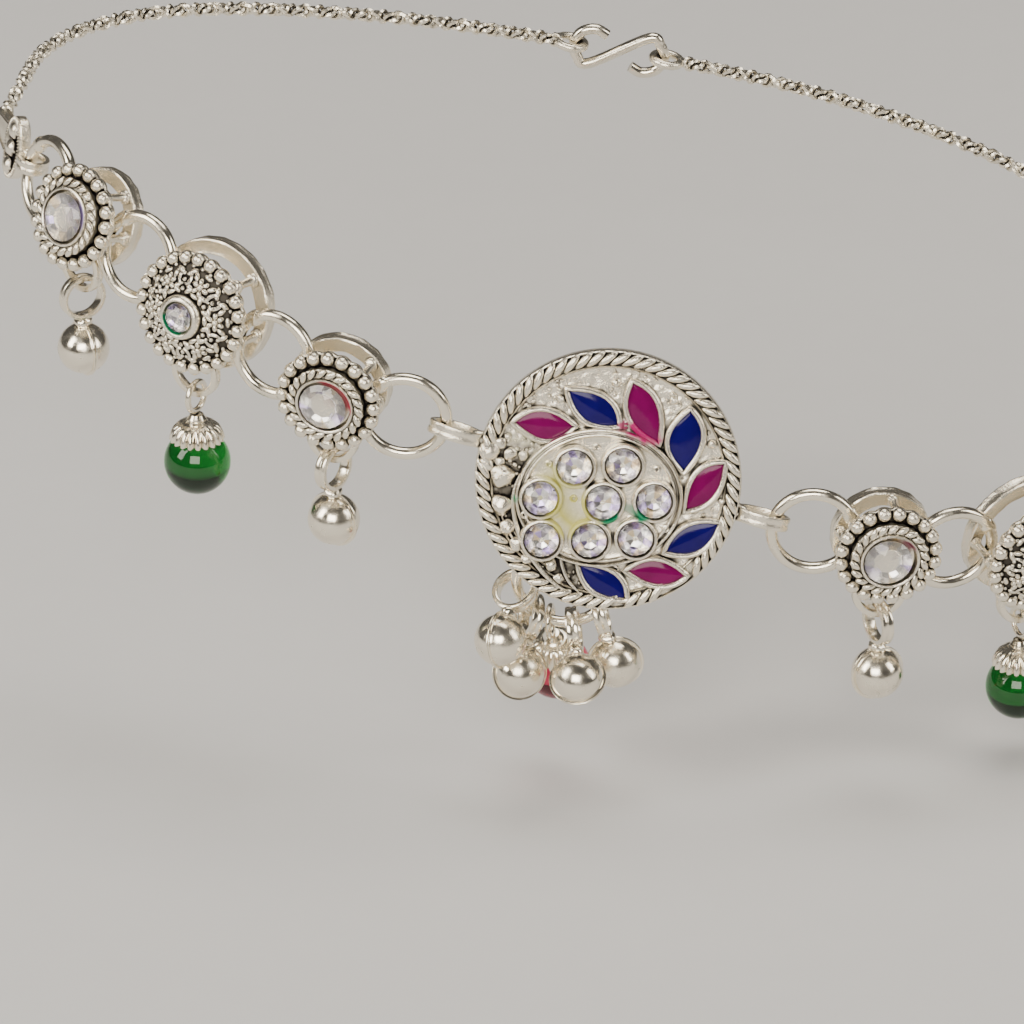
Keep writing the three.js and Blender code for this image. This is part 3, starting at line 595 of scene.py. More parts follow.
def antiqued_plate(name, bright, dark):
    """Silver plate over cast zinc, dipped in blackening and wiped: hollows stay dark, and high places shine.

    The eye sees pale metal with soft grain, and a dark grey line in every gap that the cloth didn't reach.
    That dark line comes from an occlusion node. It is partly the real blackening and partly painted shade,
    which also darkens places where separate parts come close.
    """
    finish, tree, shader, where = new_finish(name, {"Metallic": 1.0})
    # Occlusion darkens the colour in every tight gap, also between separate parts: painted shade over the
    # real oxide
    open_sky = add_node(tree, "ShaderNodeAmbientOcclusion",
                        {"samples": 8, "Distance": CAST_HOLLOW * MM}).outputs["AO"]
    patches = add_node(tree, "ShaderNodeTexNoise", {"Scale": 1 / (1.6 * MM), "Detail": 3.0},
                       {"Vector": where})
    wiped = add_node(tree, "ShaderNodeMapRange", {1: 0.3, 2: 0.7, 3: -0.12, 4: 0.1}, {0: patches.outputs[0]})
    reach = add_node(tree, "ShaderNodeMath", {"operation": "ADD"}, {0: open_sky, 1: wiped.outputs[0]})
    clean_and_unshaded = add_node(tree, "ShaderNodeMapRange", {1: 0.38, 2: 0.7}, {0: reach.outputs[0]})
    tarnish = add_node(tree, "ShaderNodeAttribute", {"attribute_name": "tarnish"}).outputs["Fac"]
    kept = add_node(tree, "ShaderNodeMath", {"operation": "SUBTRACT", "use_clamp": True},
                    {0: clean_and_unshaded.outputs[0], 1: tarnish})
    metal = add_node(tree, "ShaderNodeMix", {"data_type": "RGBA", 6: rgba(dark), 7: rgba(bright)},
                     {0: kept.outputs[0]})
    stain = add_node(tree, "ShaderNodeAttribute", {"attribute_name": "stain"}).outputs["Color"]
    cover = add_node(tree, "ShaderNodeAttribute", {"attribute_name": "stain_cover"}).outputs["Fac"]
    colour = add_node(tree, "ShaderNodeMix", {"data_type": "RGBA"},
                      {0: cover, 6: metal.outputs[2], 7: stain})
    tree.links.new(colour.outputs[2], shader.inputs["Base Color"])
    roughness = add_node(tree, "ShaderNodeMapRange", {3: 0.62, 4: CAST_ROUGHNESS}, {0: kept.outputs[0]})
    tree.links.new(roughness.outputs[0], shader.inputs["Roughness"])
    bare = add_node(tree, "ShaderNodeMath", {"operation": "SUBTRACT", 0: 1.0, "use_clamp": True}, {1: cover})
    tree.links.new(bare.outputs[0], shader.inputs["Metallic"])
    grain = add_node(tree, "ShaderNodeTexNoise",
                     {"Scale": 1 / (CAST_GRIT * MM), "Detail": 4.0, "Roughness": 0.6}, {"Vector": where})
    bump = add_node(tree, "ShaderNodeBump", {"Strength": 0.6, "Distance": CAST_GRIT * 0.3 * MM},
                    {"Height": grain.outputs[0]})
    tree.links.new(bump.outputs[0], shader.inputs["Normal"])
    return finish


def polished_plate(name, bright, dark):
    """Bright silver plate on drawn wire and pressed sheet, barrel polished.

    The eye sees soft mirror images, broken by small pits and scuffs.
    Tight gaps, flutes and places where rings cross or touch are darkened towards the dark colour by an
    occlusion node: painted shade, with a little oxide in the flutes of the caps.
    """
    finish, tree, shader, where = new_finish(name, {"Metallic": 1.0})
    # Occlusion darkening: painted shade in gaps and where parts meet, with some oxide in the flutes
    open_sky = add_node(tree, "ShaderNodeAmbientOcclusion",
                        {"samples": 6, "Distance": WIRE_HOLLOW * MM}).outputs["AO"]
    clean_and_unshaded = add_node(tree, "ShaderNodeMapRange", {1: 0.05, 2: 0.45}, {0: open_sky})
    metal = add_node(tree, "ShaderNodeMix", {"data_type": "RGBA", 6: rgba(dark), 7: rgba(bright)},
                     {0: clean_and_unshaded.outputs[0]})
    tree.links.new(metal.outputs[2], shader.inputs["Base Color"])
    scuffs = add_node(tree, "ShaderNodeTexNoise", {"Scale": 1 / (0.9 * MM), "Detail": 5.0}, {"Vector": where})
    roughness = add_node(tree, "ShaderNodeMapRange", {1: 0.35, 2: 0.7, 3: 0.14, 4: 0.31},
                         {0: scuffs.outputs[0]})
    tree.links.new(roughness.outputs[0], shader.inputs["Roughness"])
    pits = add_node(tree, "ShaderNodeTexNoise", {"Scale": 1 / (0.35 * MM), "Detail": 3.0}, {"Vector": where})
    bump = add_node(tree, "ShaderNodeBump", {"Strength": 0.18, "Distance": 0.06 * MM},
                    {"Height": pits.outputs[0]})
    tree.links.new(bump.outputs[0], shader.inputs["Normal"])
    return finish


def kiln_enamel(name, colour):
    """Hard enamel, fired and left glossy.

    The eye sees a deep even colour under a clear glassy skin with a few tiny bubbles.
    """
    finish, tree, shader, where = new_finish(name, {"Roughness": 0.1, "Specular IOR Level": 0.24})
    cloud = add_node(tree, "ShaderNodeTexNoise", {"Scale": 1 / (1.4 * MM), "Detail": 2.0}, {"Vector": where})
    deep = tuple(part * 0.6 for part in colour)
    mixed = add_node(tree, "ShaderNodeMix", {"data_type": "RGBA", 6: rgba(deep), 7: rgba(colour)},
                     {0: cloud.outputs[0]})
    tree.links.new(mixed.outputs[2], shader.inputs["Base Color"])
    bubbles = add_node(tree, "ShaderNodeTexNoise", {"Scale": 1 / (0.5 * MM), "Detail": 2.0},
                       {"Vector": where})
    bump = add_node(tree, "ShaderNodeBump", {"Strength": 0.12, "Distance": 0.04 * MM},
                    {"Height": bubbles.outputs[0]})
    tree.links.new(bump.outputs[0], shader.inputs["Normal"])
    return finish


def cut_crystal(name, clear):
    """Machine-cut lead crystal: sharp and strongly refracting, and a little milky in some stones."""
    finish, tree, shader, where = new_finish(name, {
        "Base Color": rgba(linear("#FFFFFF")), "Roughness": 0.0, "IOR": CRYSTAL_IOR,
        "Transmission Weight": clear})
    film = add_node(tree, "ShaderNodeTexNoise", {"Scale": 1 / (0.8 * MM)}, {"Vector": where})
    smear = add_node(tree, "ShaderNodeMapRange", {1: 0.4, 2: 0.8, 3: 0.0, 4: 0.05}, {0: film.outputs[0]})
    tree.links.new(smear.outputs[0], shader.inputs["Roughness"])
    return finish


def stone_foil():
    """Mirror foil behind a stone: silver and grey facets, with faint lilac and straw from a vapour coat.

    Which facets are white and which are grey is painted glint, set once per facet and not by the lamps.
    """
    finish, tree, shader, _ = new_finish("stone_foil", {"Metallic": 1.0, "Roughness": 0.2})
    # Each facet's value picks white, grey, lilac or straw: the white and grey are painted glints, the lilac
    # and straw the vapour coat
    facet = add_node(tree, "ShaderNodeAttribute", {"attribute_name": "facet"}).outputs["Fac"]
    tints = add_node(tree, "ShaderNodeValToRGB", {}, {0: facet})
    ramp = tints.color_ramp
    ramp.interpolation = "CONSTANT"
    for place, code in ((0.16, "#A9A4AC"), (0.28, "#FFFFFF"), (0.46, "#C4B4E8"), (0.6, "#F2DFBA"),
                        (0.72, "#CFCBD2"), (0.84, "#FFFDF8")):
        ramp.elements.new(place).color = rgba(linear(code))
    ramp.elements[0].color = rgba(linear("#F6F3EE"))
    tree.links.new(tints.outputs[0], shader.inputs["Base Color"])
    return finish


def moulded_glass(name, colour):
    """Moulded coloured glass: smooth, with a faint flow inside."""
    finish, tree, shader, where = new_finish(name, {
        "Roughness": 0.02, "IOR": GLASS_IOR, "Transmission Weight": 1.0})
    flow = add_node(tree, "ShaderNodeTexNoise", {"Scale": 1 / (3 * MM), "Distortion": 1.0}, {"Vector": where})
    pale = tuple(min(1, part * 1.35 + 0.01) for part in colour)
    mixed = add_node(tree, "ShaderNodeMix", {"data_type": "RGBA", 6: rgba(colour), 7: rgba(pale)},
                     {0: flow.outputs[0]})
    tree.links.new(mixed.outputs[2], shader.inputs["Base Color"])
    return finish


def studio_paper(colour):
    """Matt seamless paper: even and pale, with a very faint fibre."""
    finish, tree, shader, where = new_finish("studio_paper", {"Roughness": 0.85})
    fibre = add_node(tree, "ShaderNodeTexNoise", {"Scale": 1 / (4 * MM), "Detail": 4.0}, {"Vector": where})
    dim = tuple(part * 0.97 for part in colour)
    mixed = add_node(tree, "ShaderNodeMix", {"data_type": "RGBA", 6: rgba(dim), 7: rgba(colour)},
                     {0: fibre.outputs[0]})
    tree.links.new(mixed.outputs[2], shader.inputs["Base Color"])
    return finish


# Sizes and colours that a user may change

class AnkletSizes(bpy.types.PropertyGroup):
    rope_lobes: IntProperty(name="Rope lobes", description="Strands seen round the medallion's rope border",
                            default=64, min=24)
    rope_slant: FloatProperty(name="Rope slant", description="Slant of each strand to the border",
                              default=math.radians(35), subtype="ANGLE")
    chain_pitch: FloatProperty(name="Chain pitch", description="Distance from one chain link to the next",
                               default=0.46 * MM, subtype="DISTANCE", unit="LENGTH")
    chain_twist: FloatProperty(name="Chain twist", description="Turn from one chain link to the next",
                               default=math.radians(56), subtype="ANGLE")
    cap_flutes: IntProperty(name="Cap flutes", description="Flutes pressed into each bead cap",
                            default=20, min=6)
    floor_drop: FloatProperty(name="Floor", description="Height of the floor from the origin",
                              default=-36 * MM, subtype="DISTANCE", unit="LENGTH")


class AnkletColours(bpy.types.PropertyGroup):
    silver: FloatVectorProperty(name="Silver", description="Wiped silver plate", subtype="COLOR",
                                default=linear("#F8F0DE"))
    # Dark colour of the metal: blackening left in hollows, and also the painted shade that the occlusion node
    # lays in gaps and between parts
    oxide_and_shade: FloatVectorProperty(name="Oxide", description="Blackening left in hollows", subtype="COLOR",
                               default=linear("#221E1D"))
    blue: FloatVectorProperty(name="Blue enamel", description="Royal blue petals", subtype="COLOR",
                              default=linear("#170066"))
    rose: FloatVectorProperty(name="Rose enamel", description="Magenta petals", subtype="COLOR",
                              default=linear("#7E0058"))
    green: FloatVectorProperty(name="Green glass", description="Beads at the sides", subtype="COLOR",
                               default=linear("#0A621E"))
    red: FloatVectorProperty(name="Red glass", description="Bead behind the medallion", subtype="COLOR",
                             default=linear("#CF3054"))
    paper: FloatVectorProperty(name="Paper", description="Studio floor", subtype="COLOR",
                               default=linear("#D9D9DA"))


class AnkletOperator:
    """What every operator of this file shares."""

    bl_options = {"REGISTER", "UNDO"}

    def execute(self, context):
        scene = context.scene
        self.make(scene.anklet_sizes, scene.anklet_colours)
        return {"FINISHED"}


def finish_of(name, maker, *values):
    return bpy.data.materials.get(name) or maker(*values)


def cast_finish(colours):
    name = "antiqued_silver_plate"
    return finish_of(name, antiqued_plate, name, colours.silver[:], colours.oxide_and_shade[:])


def bright_finish(colours):
    name = "polished_silver_plate"
    return finish_of(name, polished_plate, name, colours.silver[:], colours.oxide_and_shade[:])


def aim_at(item, target):
    """Turn a camera or a light towards a place."""
    item.rotation_euler = (Vector(target) * MM - item.location).to_track_quat("-Z", "Y").to_euler()


class ANKLET_OT_stage(AnkletOperator, bpy.types.Operator):
    """Set the camera, the paper floor and the soft lights"""

    bl_idname = "anklet.stage"
    bl_label = "Stage"

    def make(self, sizes, colours):
        scene = bpy.context.scene
        lens = bpy.data.cameras.new("camera")
        lens.sensor_width = 36
        lens.angle = math.radians(VIEW_ANGLE)
        lens.clip_start = 0.05
        camera = bpy.data.objects.new("camera", lens)
        camera.location = Vector(VIEW_PLACE) * MM
        aim_at(camera, VIEW_TARGET)
        scene.collection.objects.link(camera)
        scene.camera = camera
        sheet = bmesh.new()
        bmesh.ops.create_grid(sheet, x_segments=2, y_segments=2, size=FLOOR_HALF * MM)
        mesh = bpy.data.meshes.new("paper_floor")
        bmesh.ops.translate(sheet, verts=sheet.verts, vec=(0, 0, sizes.floor_drop))
        sheet.to_mesh(mesh)
        sheet.free()
        mesh.materials.append(studio_paper(colours.paper[:]))
        floor = bpy.data.objects.new("paper_floor", mesh)
        scene.collection.objects.link(floor)
        for name, place, size, power in SOFTBOXES:
            lamp = bpy.data.lights.new(name, "AREA")
            lamp.shape = "RECTANGLE"
            lamp.size, lamp.size_y = size[0] * MM, size[1] * MM
            lamp.energy = power
            lamp.color = linear("#FFF8EC")
            light = bpy.data.objects.new(name, lamp)
            light.location = Vector(place) * MM
            aim_at(light, LIGHT_TARGET)
            scene.collection.objects.link(light)
        room = bpy.data.worlds.new("studio")
        room.use_nodes = True
        sky = room.node_tree.nodes["Background"]
        sky.inputs["Color"].default_value = rgba(linear("#8E8C8A"))
        sky.inputs["Strength"].default_value = ROOM_LIGHT
        scene.world = room


# Medallion

FACE_LEVEL = -PLATE / 2


def petal_outline(tips, sides, inset, steps=18):
    """Points round a petal, sideways and up, moved in by some distance."""
    tips = [Vector(tip) for tip in tips]
    middle = (tips[0] + tips[1]) / 2
    axis = (tips[1] - tips[0]).normalized()
    ends = [tips[0] + axis * inset * 1.7, tips[1] - axis * inset * 1.7]
    controls = []
    for side in sides:
        out = Vector(side) - middle
        out.length = max(out.length - inset, PETAL_RIM)
        controls.append((middle + out) * 2 - (ends[0] + ends[1]) / 2)
    points = []
    for start, control, end in ((ends[0], controls[0], ends[1]), (ends[1], controls[1], ends[0])):
        for i in range(steps):
            t = i / steps
            points.append(start * (1 - t) ** 2 + control * 2 * t * (1 - t) + end * t ** 2)
    return points, ends


def in_boss(x, z, grow=0.0):
    across = (x - BOSS_CENTRE[0]) / (BOSS_HALVES[0] + grow)
    up = (z - BOSS_CENTRE[1]) / (BOSS_HALVES[1] + grow)
    return across ** 2 + up ** 2 < 1


def plate_body():
    """Round plate with a turned edge, an inner ridge and a hammered ground."""
    rings = [0, 1.5, 3, 4] + [4 + 0.16 * i for i in range(1, 37)]
    profile = [(radius, FACE_LEVEL) for radius in rings]
    profile += [(10.02, -0.66), (10.08, -0.84), (10.17, -0.9), (10.26, -0.84), (10.33, -0.66), (11.3, -0.62)]
    profile += [(11.36, -0.74), (11.45, -0.84), (11.55, -0.8), (11.6, -0.68), (11.6, 0.2), (11.5, 0.42),
                (11.3, 0.56), (11.0, 0.6)]
    profile += [(7, 0.6), (0, 0.6)]
    plate = turned(profile, 360)
    for vert in plate.verts:
        radius = math.hypot(vert.co.x, vert.co.z)
        if vert.co.y < 0 and 4.1 < radius < 9.8:
            deep = 0.0
            for pace, depth in ((1.6, 0.07), (2.9, 0.06), (5, 0.06)):
                deep += noise.noise(vert.co * pace) * depth
            vert.co.y -= deep + 0.02
    return plate


def rope_strands(sizes):
    """Strands of the rope border, left out where the tip of a petal lies over it."""
    strand = ball(1.0, 12, 7)
    bmesh.ops.scale(strand, vec=(1.04, 0.36, 0.35), verts=strand.verts)
    rims = [point for tips, sides, _ in PETALS for point in petal_outline(tips, sides, -PETAL_RIM / 2)[0]]
    places = []
    for i in range(sizes.rope_lobes):
        turn = i * math.tau / sizes.rope_lobes
        place = round_face(STRAND_REACH, turn, 0.3, FACE_LEVEL, math.pi / 2 + sizes.rope_slant)
        at = Vector((place.translation.x, place.translation.z))
        if min((at - point).length for point in rims) > STRAND_FREE:
            places.append(place)
    return strand, places


def in_petal(x, z):
    for tips, _, _ in PETALS:
        start, end = (Vector(tip) for tip in tips)
        half = (end - start) / 2
        off = Vector((x, z)) - start - half
        along = off.dot(half) / half.length_squared
        across = abs(off.cross(half)) / half.length
        if abs(along) < 1.1 and across < 1.4 * (1 - min(1.0, along ** 2)) + 0.5:
            return True
    return False


def sand_places():
    """Granules strewn over the ground between the rope, the petals and the raised field."""
    chance = random.Random(5)
    places = []
    while len(places) < GRANULES:
        radius, turn = GRANULE_REACH * math.sqrt(chance.random()), chance.random() * math.tau
        x, z = math.cos(turn) * radius, math.sin(turn) * radius
        if not in_boss(x, z, 0.2) and not in_petal(x, z):
            size = 0.09 + 0.15 * chance.random() ** 2
            places.append(on_face(x, z, size * 0.2, FACE_LEVEL) @ Matrix.Scale(size, 4))
    return places


def boss_body():
    """Raised oval field with two wires round its edge, as shares of its half width and heights."""
    heights = [
        (0, 0.7), (0.5, 0.69), (0.8, 0.68), (0.868, 0.68), (0.882, 0.72), (0.893, 0.82), (0.905, 0.85),
        (0.918, 0.82), (0.928, 0.64), (0.94, 0.62), (0.952, 0.7), (0.962, 0.88), (0.975, 0.93),
        (0.988, 0.9), (0.998, 0.75), (1.0, 0.4), (1.0, -0.2), (0, -0.2),
    ]
    boss = turned([(radius, FACE_LEVEL - height) for radius, height in heights], 128)
    bmesh.ops.scale(boss, vec=(BOSS_HALVES[0], 1, BOSS_HALVES[1]), verts=boss.verts)
    return boss


def cup_body():
    """Cup of a small crystal, with a thin lip rolled over its edge."""
    top = BOSS_HEIGHT + CUP_HEIGHT
    heights = [
        (0, 0.98), (CUP_STONE + 0.02, 0.98), (CUP_STONE + 0.1, 1.1), (CUP_STONE + 0.12, top - 0.06),
        (CUP_STONE + 0.16, top), (CUP_RADIUS - 0.03, top), (CUP_RADIUS + 0.05, top - 0.05),
        (CUP_RADIUS + 0.1, top - 0.16), (CUP_RADIUS + 0.16, 0.62), (0, 0.62),
    ]
    return turned([(radius, FACE_LEVEL - height) for radius, height in heights], 40)


def lug_pieces(casting, edge, direction, halves):
    """Strap loop beyond an edge, with a lump of solder at its root."""
    x = direction.normalized()
    z = x.cross(BACK).normalized()
    turn = Matrix((x, z.cross(x), z)).transposed().to_4x4()
    loop = turned(strap_section(halves[0], LUG_BAND, LUG_WIDTH), 48)
    squeeze = Matrix.Diagonal((1, halves[1] / halves[0], 1, 1))
    lay = Matrix.Translation((edge + halves[0] - BITE, 0, 0)) @ squeeze
    join(casting, loop, [turn @ lay @ Matrix.Rotation(math.pi / 2, 4, "X")])
    solder = ball(1.0, 20, 14)
    reach = min(1.1, halves[0] - LUG_BAND - LINK_WIRE)
    bmesh.ops.scale(solder, vec=(reach, 0.62, 0.82), verts=solder.verts)
    roughen(solder, 0.16, 0.7)
    join(casting, solder, [turn @ Matrix.Translation((edge + 0.05, -0.1, 0))])


def flat_path(points, height):
    return smooth_path([Vector((x, FACE_LEVEL - height, z)) for x, z in points], 6)


def tapered(path, least=0.35):
    """Share of the radius along a line that thins at both ends."""
    count = len(path) - 1
    return [least + (1 - least) * min(1, 4 * min(i, count - i) / count) for i in range(count + 1)]


# Stray lacquer on the medallion: place sideways and up, reach, colour and strength
STAINS = (
    (0.2, -3.05, 0.95, "#0F7F55", 1.0), (3.05, -2.85, 0.95, "#12855B", 1.0),
    (-2.75, -4.3, 0.8, "#2F9468", 0.9), (-0.9, 2.45, 0.35, "#3F9A6C", 0.8),
    (-5.1, 0.8, 0.5, "#2F9468", 0.8), (-8.05, -1.5, 0.35, "#2F9468", 0.8), (-3.0, -4.4, 0.5, "#2F9468", 0.7),
    (1.3, 4.95, 0.6, "#B4146A", 0.9), (2.3, 4.6, 0.95, "#B4146A", 1.0), (3.3, 4.2, 0.95, "#B4146A", 1.0),
    (4.2, 3.7, 0.6, "#B4146A", 0.9), (-3.2, -2.7, 2.6, "#D0CB66", 0.95), (-4.2, -0.1, 2.2, "#D6D384", 0.85),
    (-6.5, 2.6, 1.4, "#DAD8BE", 0.35), (-7.6, 3.9, 1.4, "#D9D6B4", 0.4),
)


def medallion_stain(co):
    """Lacquer that ran out of a cell or a cup: green and rose specks, and a straw-coloured film."""
    best = (1, 1, 1, 0.0)
    if co.y > FACE_LEVEL - 0.02:
        return best
    for x, z, size, code, strength in STAINS:
        far = math.hypot(co.x - x, co.z - z) / size
        far += noise.noise(co * 1.7) * 0.35
        here = strength * max(0.0, min(1.0, (1 - far) * 3))
        if here > best[3]:
            best = (*linear(code), here)
    return best


def medallion_tarnish(co):
    """Blackening that stayed in the channel left of the raised field, which was never wiped."""
    radius = math.hypot(co.x, co.z)
    turn = math.degrees(math.atan2(co.z, co.x)) % 360
    low = FACE_LEVEL - 0.16 < co.y < FACE_LEVEL + 0.12
    if not low or radius > 10.35 or in_boss(co.x, co.z, -0.1):
        return 0.0
    edge = min(1.0, (turn - 152) / 26, (268 - turn) / 20)
    return max(0.0, min(0.88, edge + 0.1 + noise.noise(co * 2.4) * 0.7)) if edge > 0 else 0.0


class ANKLET_OT_medallion(AnkletOperator, bpy.types.Operator):
    """Cast the medallion with its rope border, petal cells, raised field, cups and loops"""

    bl_idname = "anklet.medallion"
    bl_label = "Medallion"

    def make(self, sizes, colours):
        casting = bmesh.new()
        join(casting, plate_body())
        join(casting, *rope_strands(sizes))
        join(casting, boss_body(), [Matrix.Translation((BOSS_CENTRE[0], 0, BOSS_CENTRE[1]))])
        for tips, sides, _ in PETALS:
            outline, _ = petal_outline(tips, sides, -PETAL_RIM / 2)
            path = [Vector((point.x, FACE_LEVEL - CELL_HEIGHT, point.y)) for point in outline]
            join(casting, drawn_wire(path, PETAL_WIRE, 10, closed=True, flat=1.1))
        join(casting, cup_body(), [Matrix.Translation((x, 0, z)) for x, z in CUPS])
        for x, z, size in NUGGETS:
            nugget = ball(size, 20, 14)
            bmesh.ops.translate(nugget, verts=nugget.verts, vec=(x, 0, z))
            roughen(nugget, size * 0.3, size * 0.9)
            bmesh.ops.translate(nugget, verts=nugget.verts, vec=(-x, 0, -z))
            bmesh.ops.scale(nugget, vec=(1.0, 0.75, 0.92), verts=nugget.verts)
            join(casting, nugget, [on_face(x, z, size * 0.15, FACE_LEVEL, x)])
        join(casting, ball(1.0, 8, 6), sand_places())
        dimple = turned([(0.12, 0.05), (0.14, -0.1), (0.22, -0.16), (0.33, -0.12), (0.4, 0.1)], 16)
        join(casting, dimple, [on_face(x, z, 0.7 if in_boss(x, z) else 0.05, FACE_LEVEL) for x, z in DIMPLES])
        for line, radius in ((BOSS_TAIL, 0.24), (INNER_TAIL, 0.17)):
            path = flat_path(line, 0.32)
            join(casting, drawn_wire(path, radius, 8, swell=tapered(path), flat=1.3))
        for radius, start, end in ((9.78, 196, 248), (9.35, 206, 240)):
            turns = [math.radians(start + (end - start) * i / 40) for i in range(41)]
            path = [Vector((math.cos(turn) * radius, FACE_LEVEL - 0.1, math.sin(turn) * radius))
                    for turn in turns]
            join(casting, drawn_wire(path, 0.13, 8, swell=tapered(path), flat=1.4))
        for side in SIDES:
            direction = FACE.inverted() @ STOPS[side["name"]][1][1]
            lug_pieces(casting, MEDALLION_RADIUS, direction, LUG_HALVES)
        hanger = turned(strap_section(HANGER_RADIUS, LUG_BAND, LUG_WIDTH), 40)
        lift = Matrix.Translation((HANGER_PLACE[0], HANGER_RADIUS - FACE_LEVEL - BITE, HANGER_PLACE[1]))
        join(casting, hanger, [lift @ Matrix.Rotation(math.pi / 2, 4, "Z")])
        solder = ball(1.0, 20, 14)
        bmesh.ops.scale(solder, vec=(1.2, 0.45, 0.95), verts=solder.verts)
        roughen(solder, 0.16, 0.7)
        join(casting, solder, [Matrix.Translation((HANGER_PLACE[0], -FACE_LEVEL, HANGER_PLACE[1]))])
        deliver("medallion_casting", casting, FACE, [cast_finish(colours)], "cast_silver", ["medallion"],
                tarnish=medallion_tarnish, stain=medallion_stain)


class ANKLET_OT_enamel(AnkletOperator, bpy.types.Operator):
    """Fire the blue and rose enamel in the petals"""

    bl_idname = "anklet.enamel"
    bl_label = "Enamel"
    stations = 36
    ribs = 12

    def make(self, sizes, colours):
        for shade, slot in (("blue", "enamel_blue"), ("rose", "enamel_magenta")):
            fills = bmesh.new()
            for tips, sides, colour in PETALS:
                if colour == shade:
                    join(fills, self.petal_fill(tips, sides))
            enamel = finish_of(f"{shade}_enamel", kiln_enamel, f"{shade}_enamel", getattr(colours, shade)[:])
            deliver(f"{shade}_petals", fills, FACE, [enamel], slot, sharp=60)

    def petal_fill(self, tips, sides):
        """Pool of enamel that rises from the wall of its cell to its spine."""
        outline, _ = petal_outline(tips, sides, 0, self.stations)
        near, far = outline[:self.stations + 1], outline[self.stations:] + outline[:1]
        pool = bmesh.new()
        bmesh.ops.create_grid(pool, x_segments=self.stations, y_segments=self.ribs, size=1)
        for vert in pool.verts:
            i = round((vert.co.x + 1) / 2 * self.stations)
            across = vert.co.y
            point = near[i].lerp(far[self.stations - i], (across + 1) / 2)
            swell = math.sin(math.pi * i / self.stations) ** 0.5 * (1 - across ** 2)
            vert.co = (point.x, FACE_LEVEL - CELL_HEIGHT - 0.15 * swell, point.y)
        grown = bmesh.ops.extrude_face_region(pool, geom=pool.faces[:], use_keep_orig=True)["geom"]
        back = [item for item in grown if isinstance(item, bmesh.types.BMVert)]
        bmesh.ops.translate(pool, verts=back, vec=(0, 0.2, 0))
        bmesh.ops.remove_doubles(pool, verts=pool.verts, dist=WELD)
        bmesh.ops.recalc_face_normals(pool, faces=pool.faces)
        return pool


# Cut stones

def cut_stone(radius, crown, start, facets=8):
    """Brilliant with a table, a crown of stars and kites, a thin girdle and a foiled pavilion of wedges."""
    stone = bmesh.new()
    step = math.tau / facets
    for i in range(facets):
        for share, height, turn in ((0.56, crown, 0.0), (0.82, crown * 0.56, 0.5)):
            angle = (i + turn) * step
            stone.verts.new((math.cos(angle) * radius * share, -height, math.sin(angle) * radius * share))
    for i in range(facets * 2):
        angle = i * step / 2
        for depth in (0.0, radius * 0.05):
            stone.verts.new((math.cos(angle) * radius, depth, math.sin(angle) * radius))
    low = radius * STONE_DEPTH - STONE_SINK - CLEARANCE
    for i in range(facets):
        angle, half = (i + 0.5) * step, radius * 0.5
        stone.verts.new((math.cos(angle) * half, radius * 0.05 + low * 0.6, math.sin(angle) * half))
    stone.verts.new((0, low, 0))
    bmesh.ops.convex_hull(stone, input=stone.verts)
    bmesh.ops.dissolve_limit(stone, angle_limit=0.01, verts=stone.verts, edges=stone.edges)
    # Value per facet that the foil turns into white, grey, lilac or straw: painted glints, and the coat's
    # tint
    tint = stone.faces.layers.float.new("facet")
    for face in stone.faces:
        centre = face.calc_center_median()
        wedge = math.floor(math.atan2(centre.z, centre.x) / step * 2)
        row = 3 if math.hypot(centre.x, centre.z) < radius * 0.45 else 0
        face[tint] = (start + (wedge + row) * 0.618) % 1
        face.material_index = 1 if face.normal.y > 0.1 else 0
    return stone


class ANKLET_OT_stones(AnkletOperator, bpy.types.Operator):
    """Set a foiled crystal in each cup and station"""

    bl_idname = "anklet.stones"
    bl_label = "Stones"

    def make(self, sizes, colours):
        foil = finish_of("stone_foil", stone_foil)
        clear = finish_of("clear_crystal", cut_crystal, "clear_crystal", CLEAR)
        milky = finish_of("milky_crystal", cut_crystal, "milky_crystal", MILKY)
        for i, (x, z) in enumerate(CUPS):
            depth = FACE_LEVEL - BOSS_HEIGHT - CUP_HEIGHT + STONE_SINK
            seat = Matrix.Translation((x - CUP_SHIFT, depth, z + CUP_SHIFT))
            place = FACE @ seat @ Matrix.Rotation(i * 0.7, 4, "Y")
            stone = cut_stone(CUP_STONE, 0.45, i * 0.37)
            deliver(f"cup_stone_{i + 1}", stone, place, [clear, foil], "crystal",
                    [f"medallion_stone_{i + 1}"], sharp=SHARP_FACETS)
        for side in SIDES:
            for number in (1, 2, 3):
                kind = station_kind(number)
                depth = DISC_FACE - STATIONS[kind]["rise"] + STONE_SINK
                off = 0 if kind == "large" else -STATION_SHIFT
                seat = Matrix.Translation((off, depth, off)) @ Matrix.Rotation(number, 4, "Y")
                name = f"{side['name']}_{number}"
                radius = STATIONS[kind]["stone"] + off
                crystal = clear if kind == "large" else milky
                stone = cut_stone(radius, radius * 0.3, number * 0.3, 10)
                deliver(f"set_stone_{name}", stone, station_place(side, number) @ seat, [crystal, foil],
                        "crystal", [f"stone_{name}"], sharp=SHARP_FACETS)


# Stations

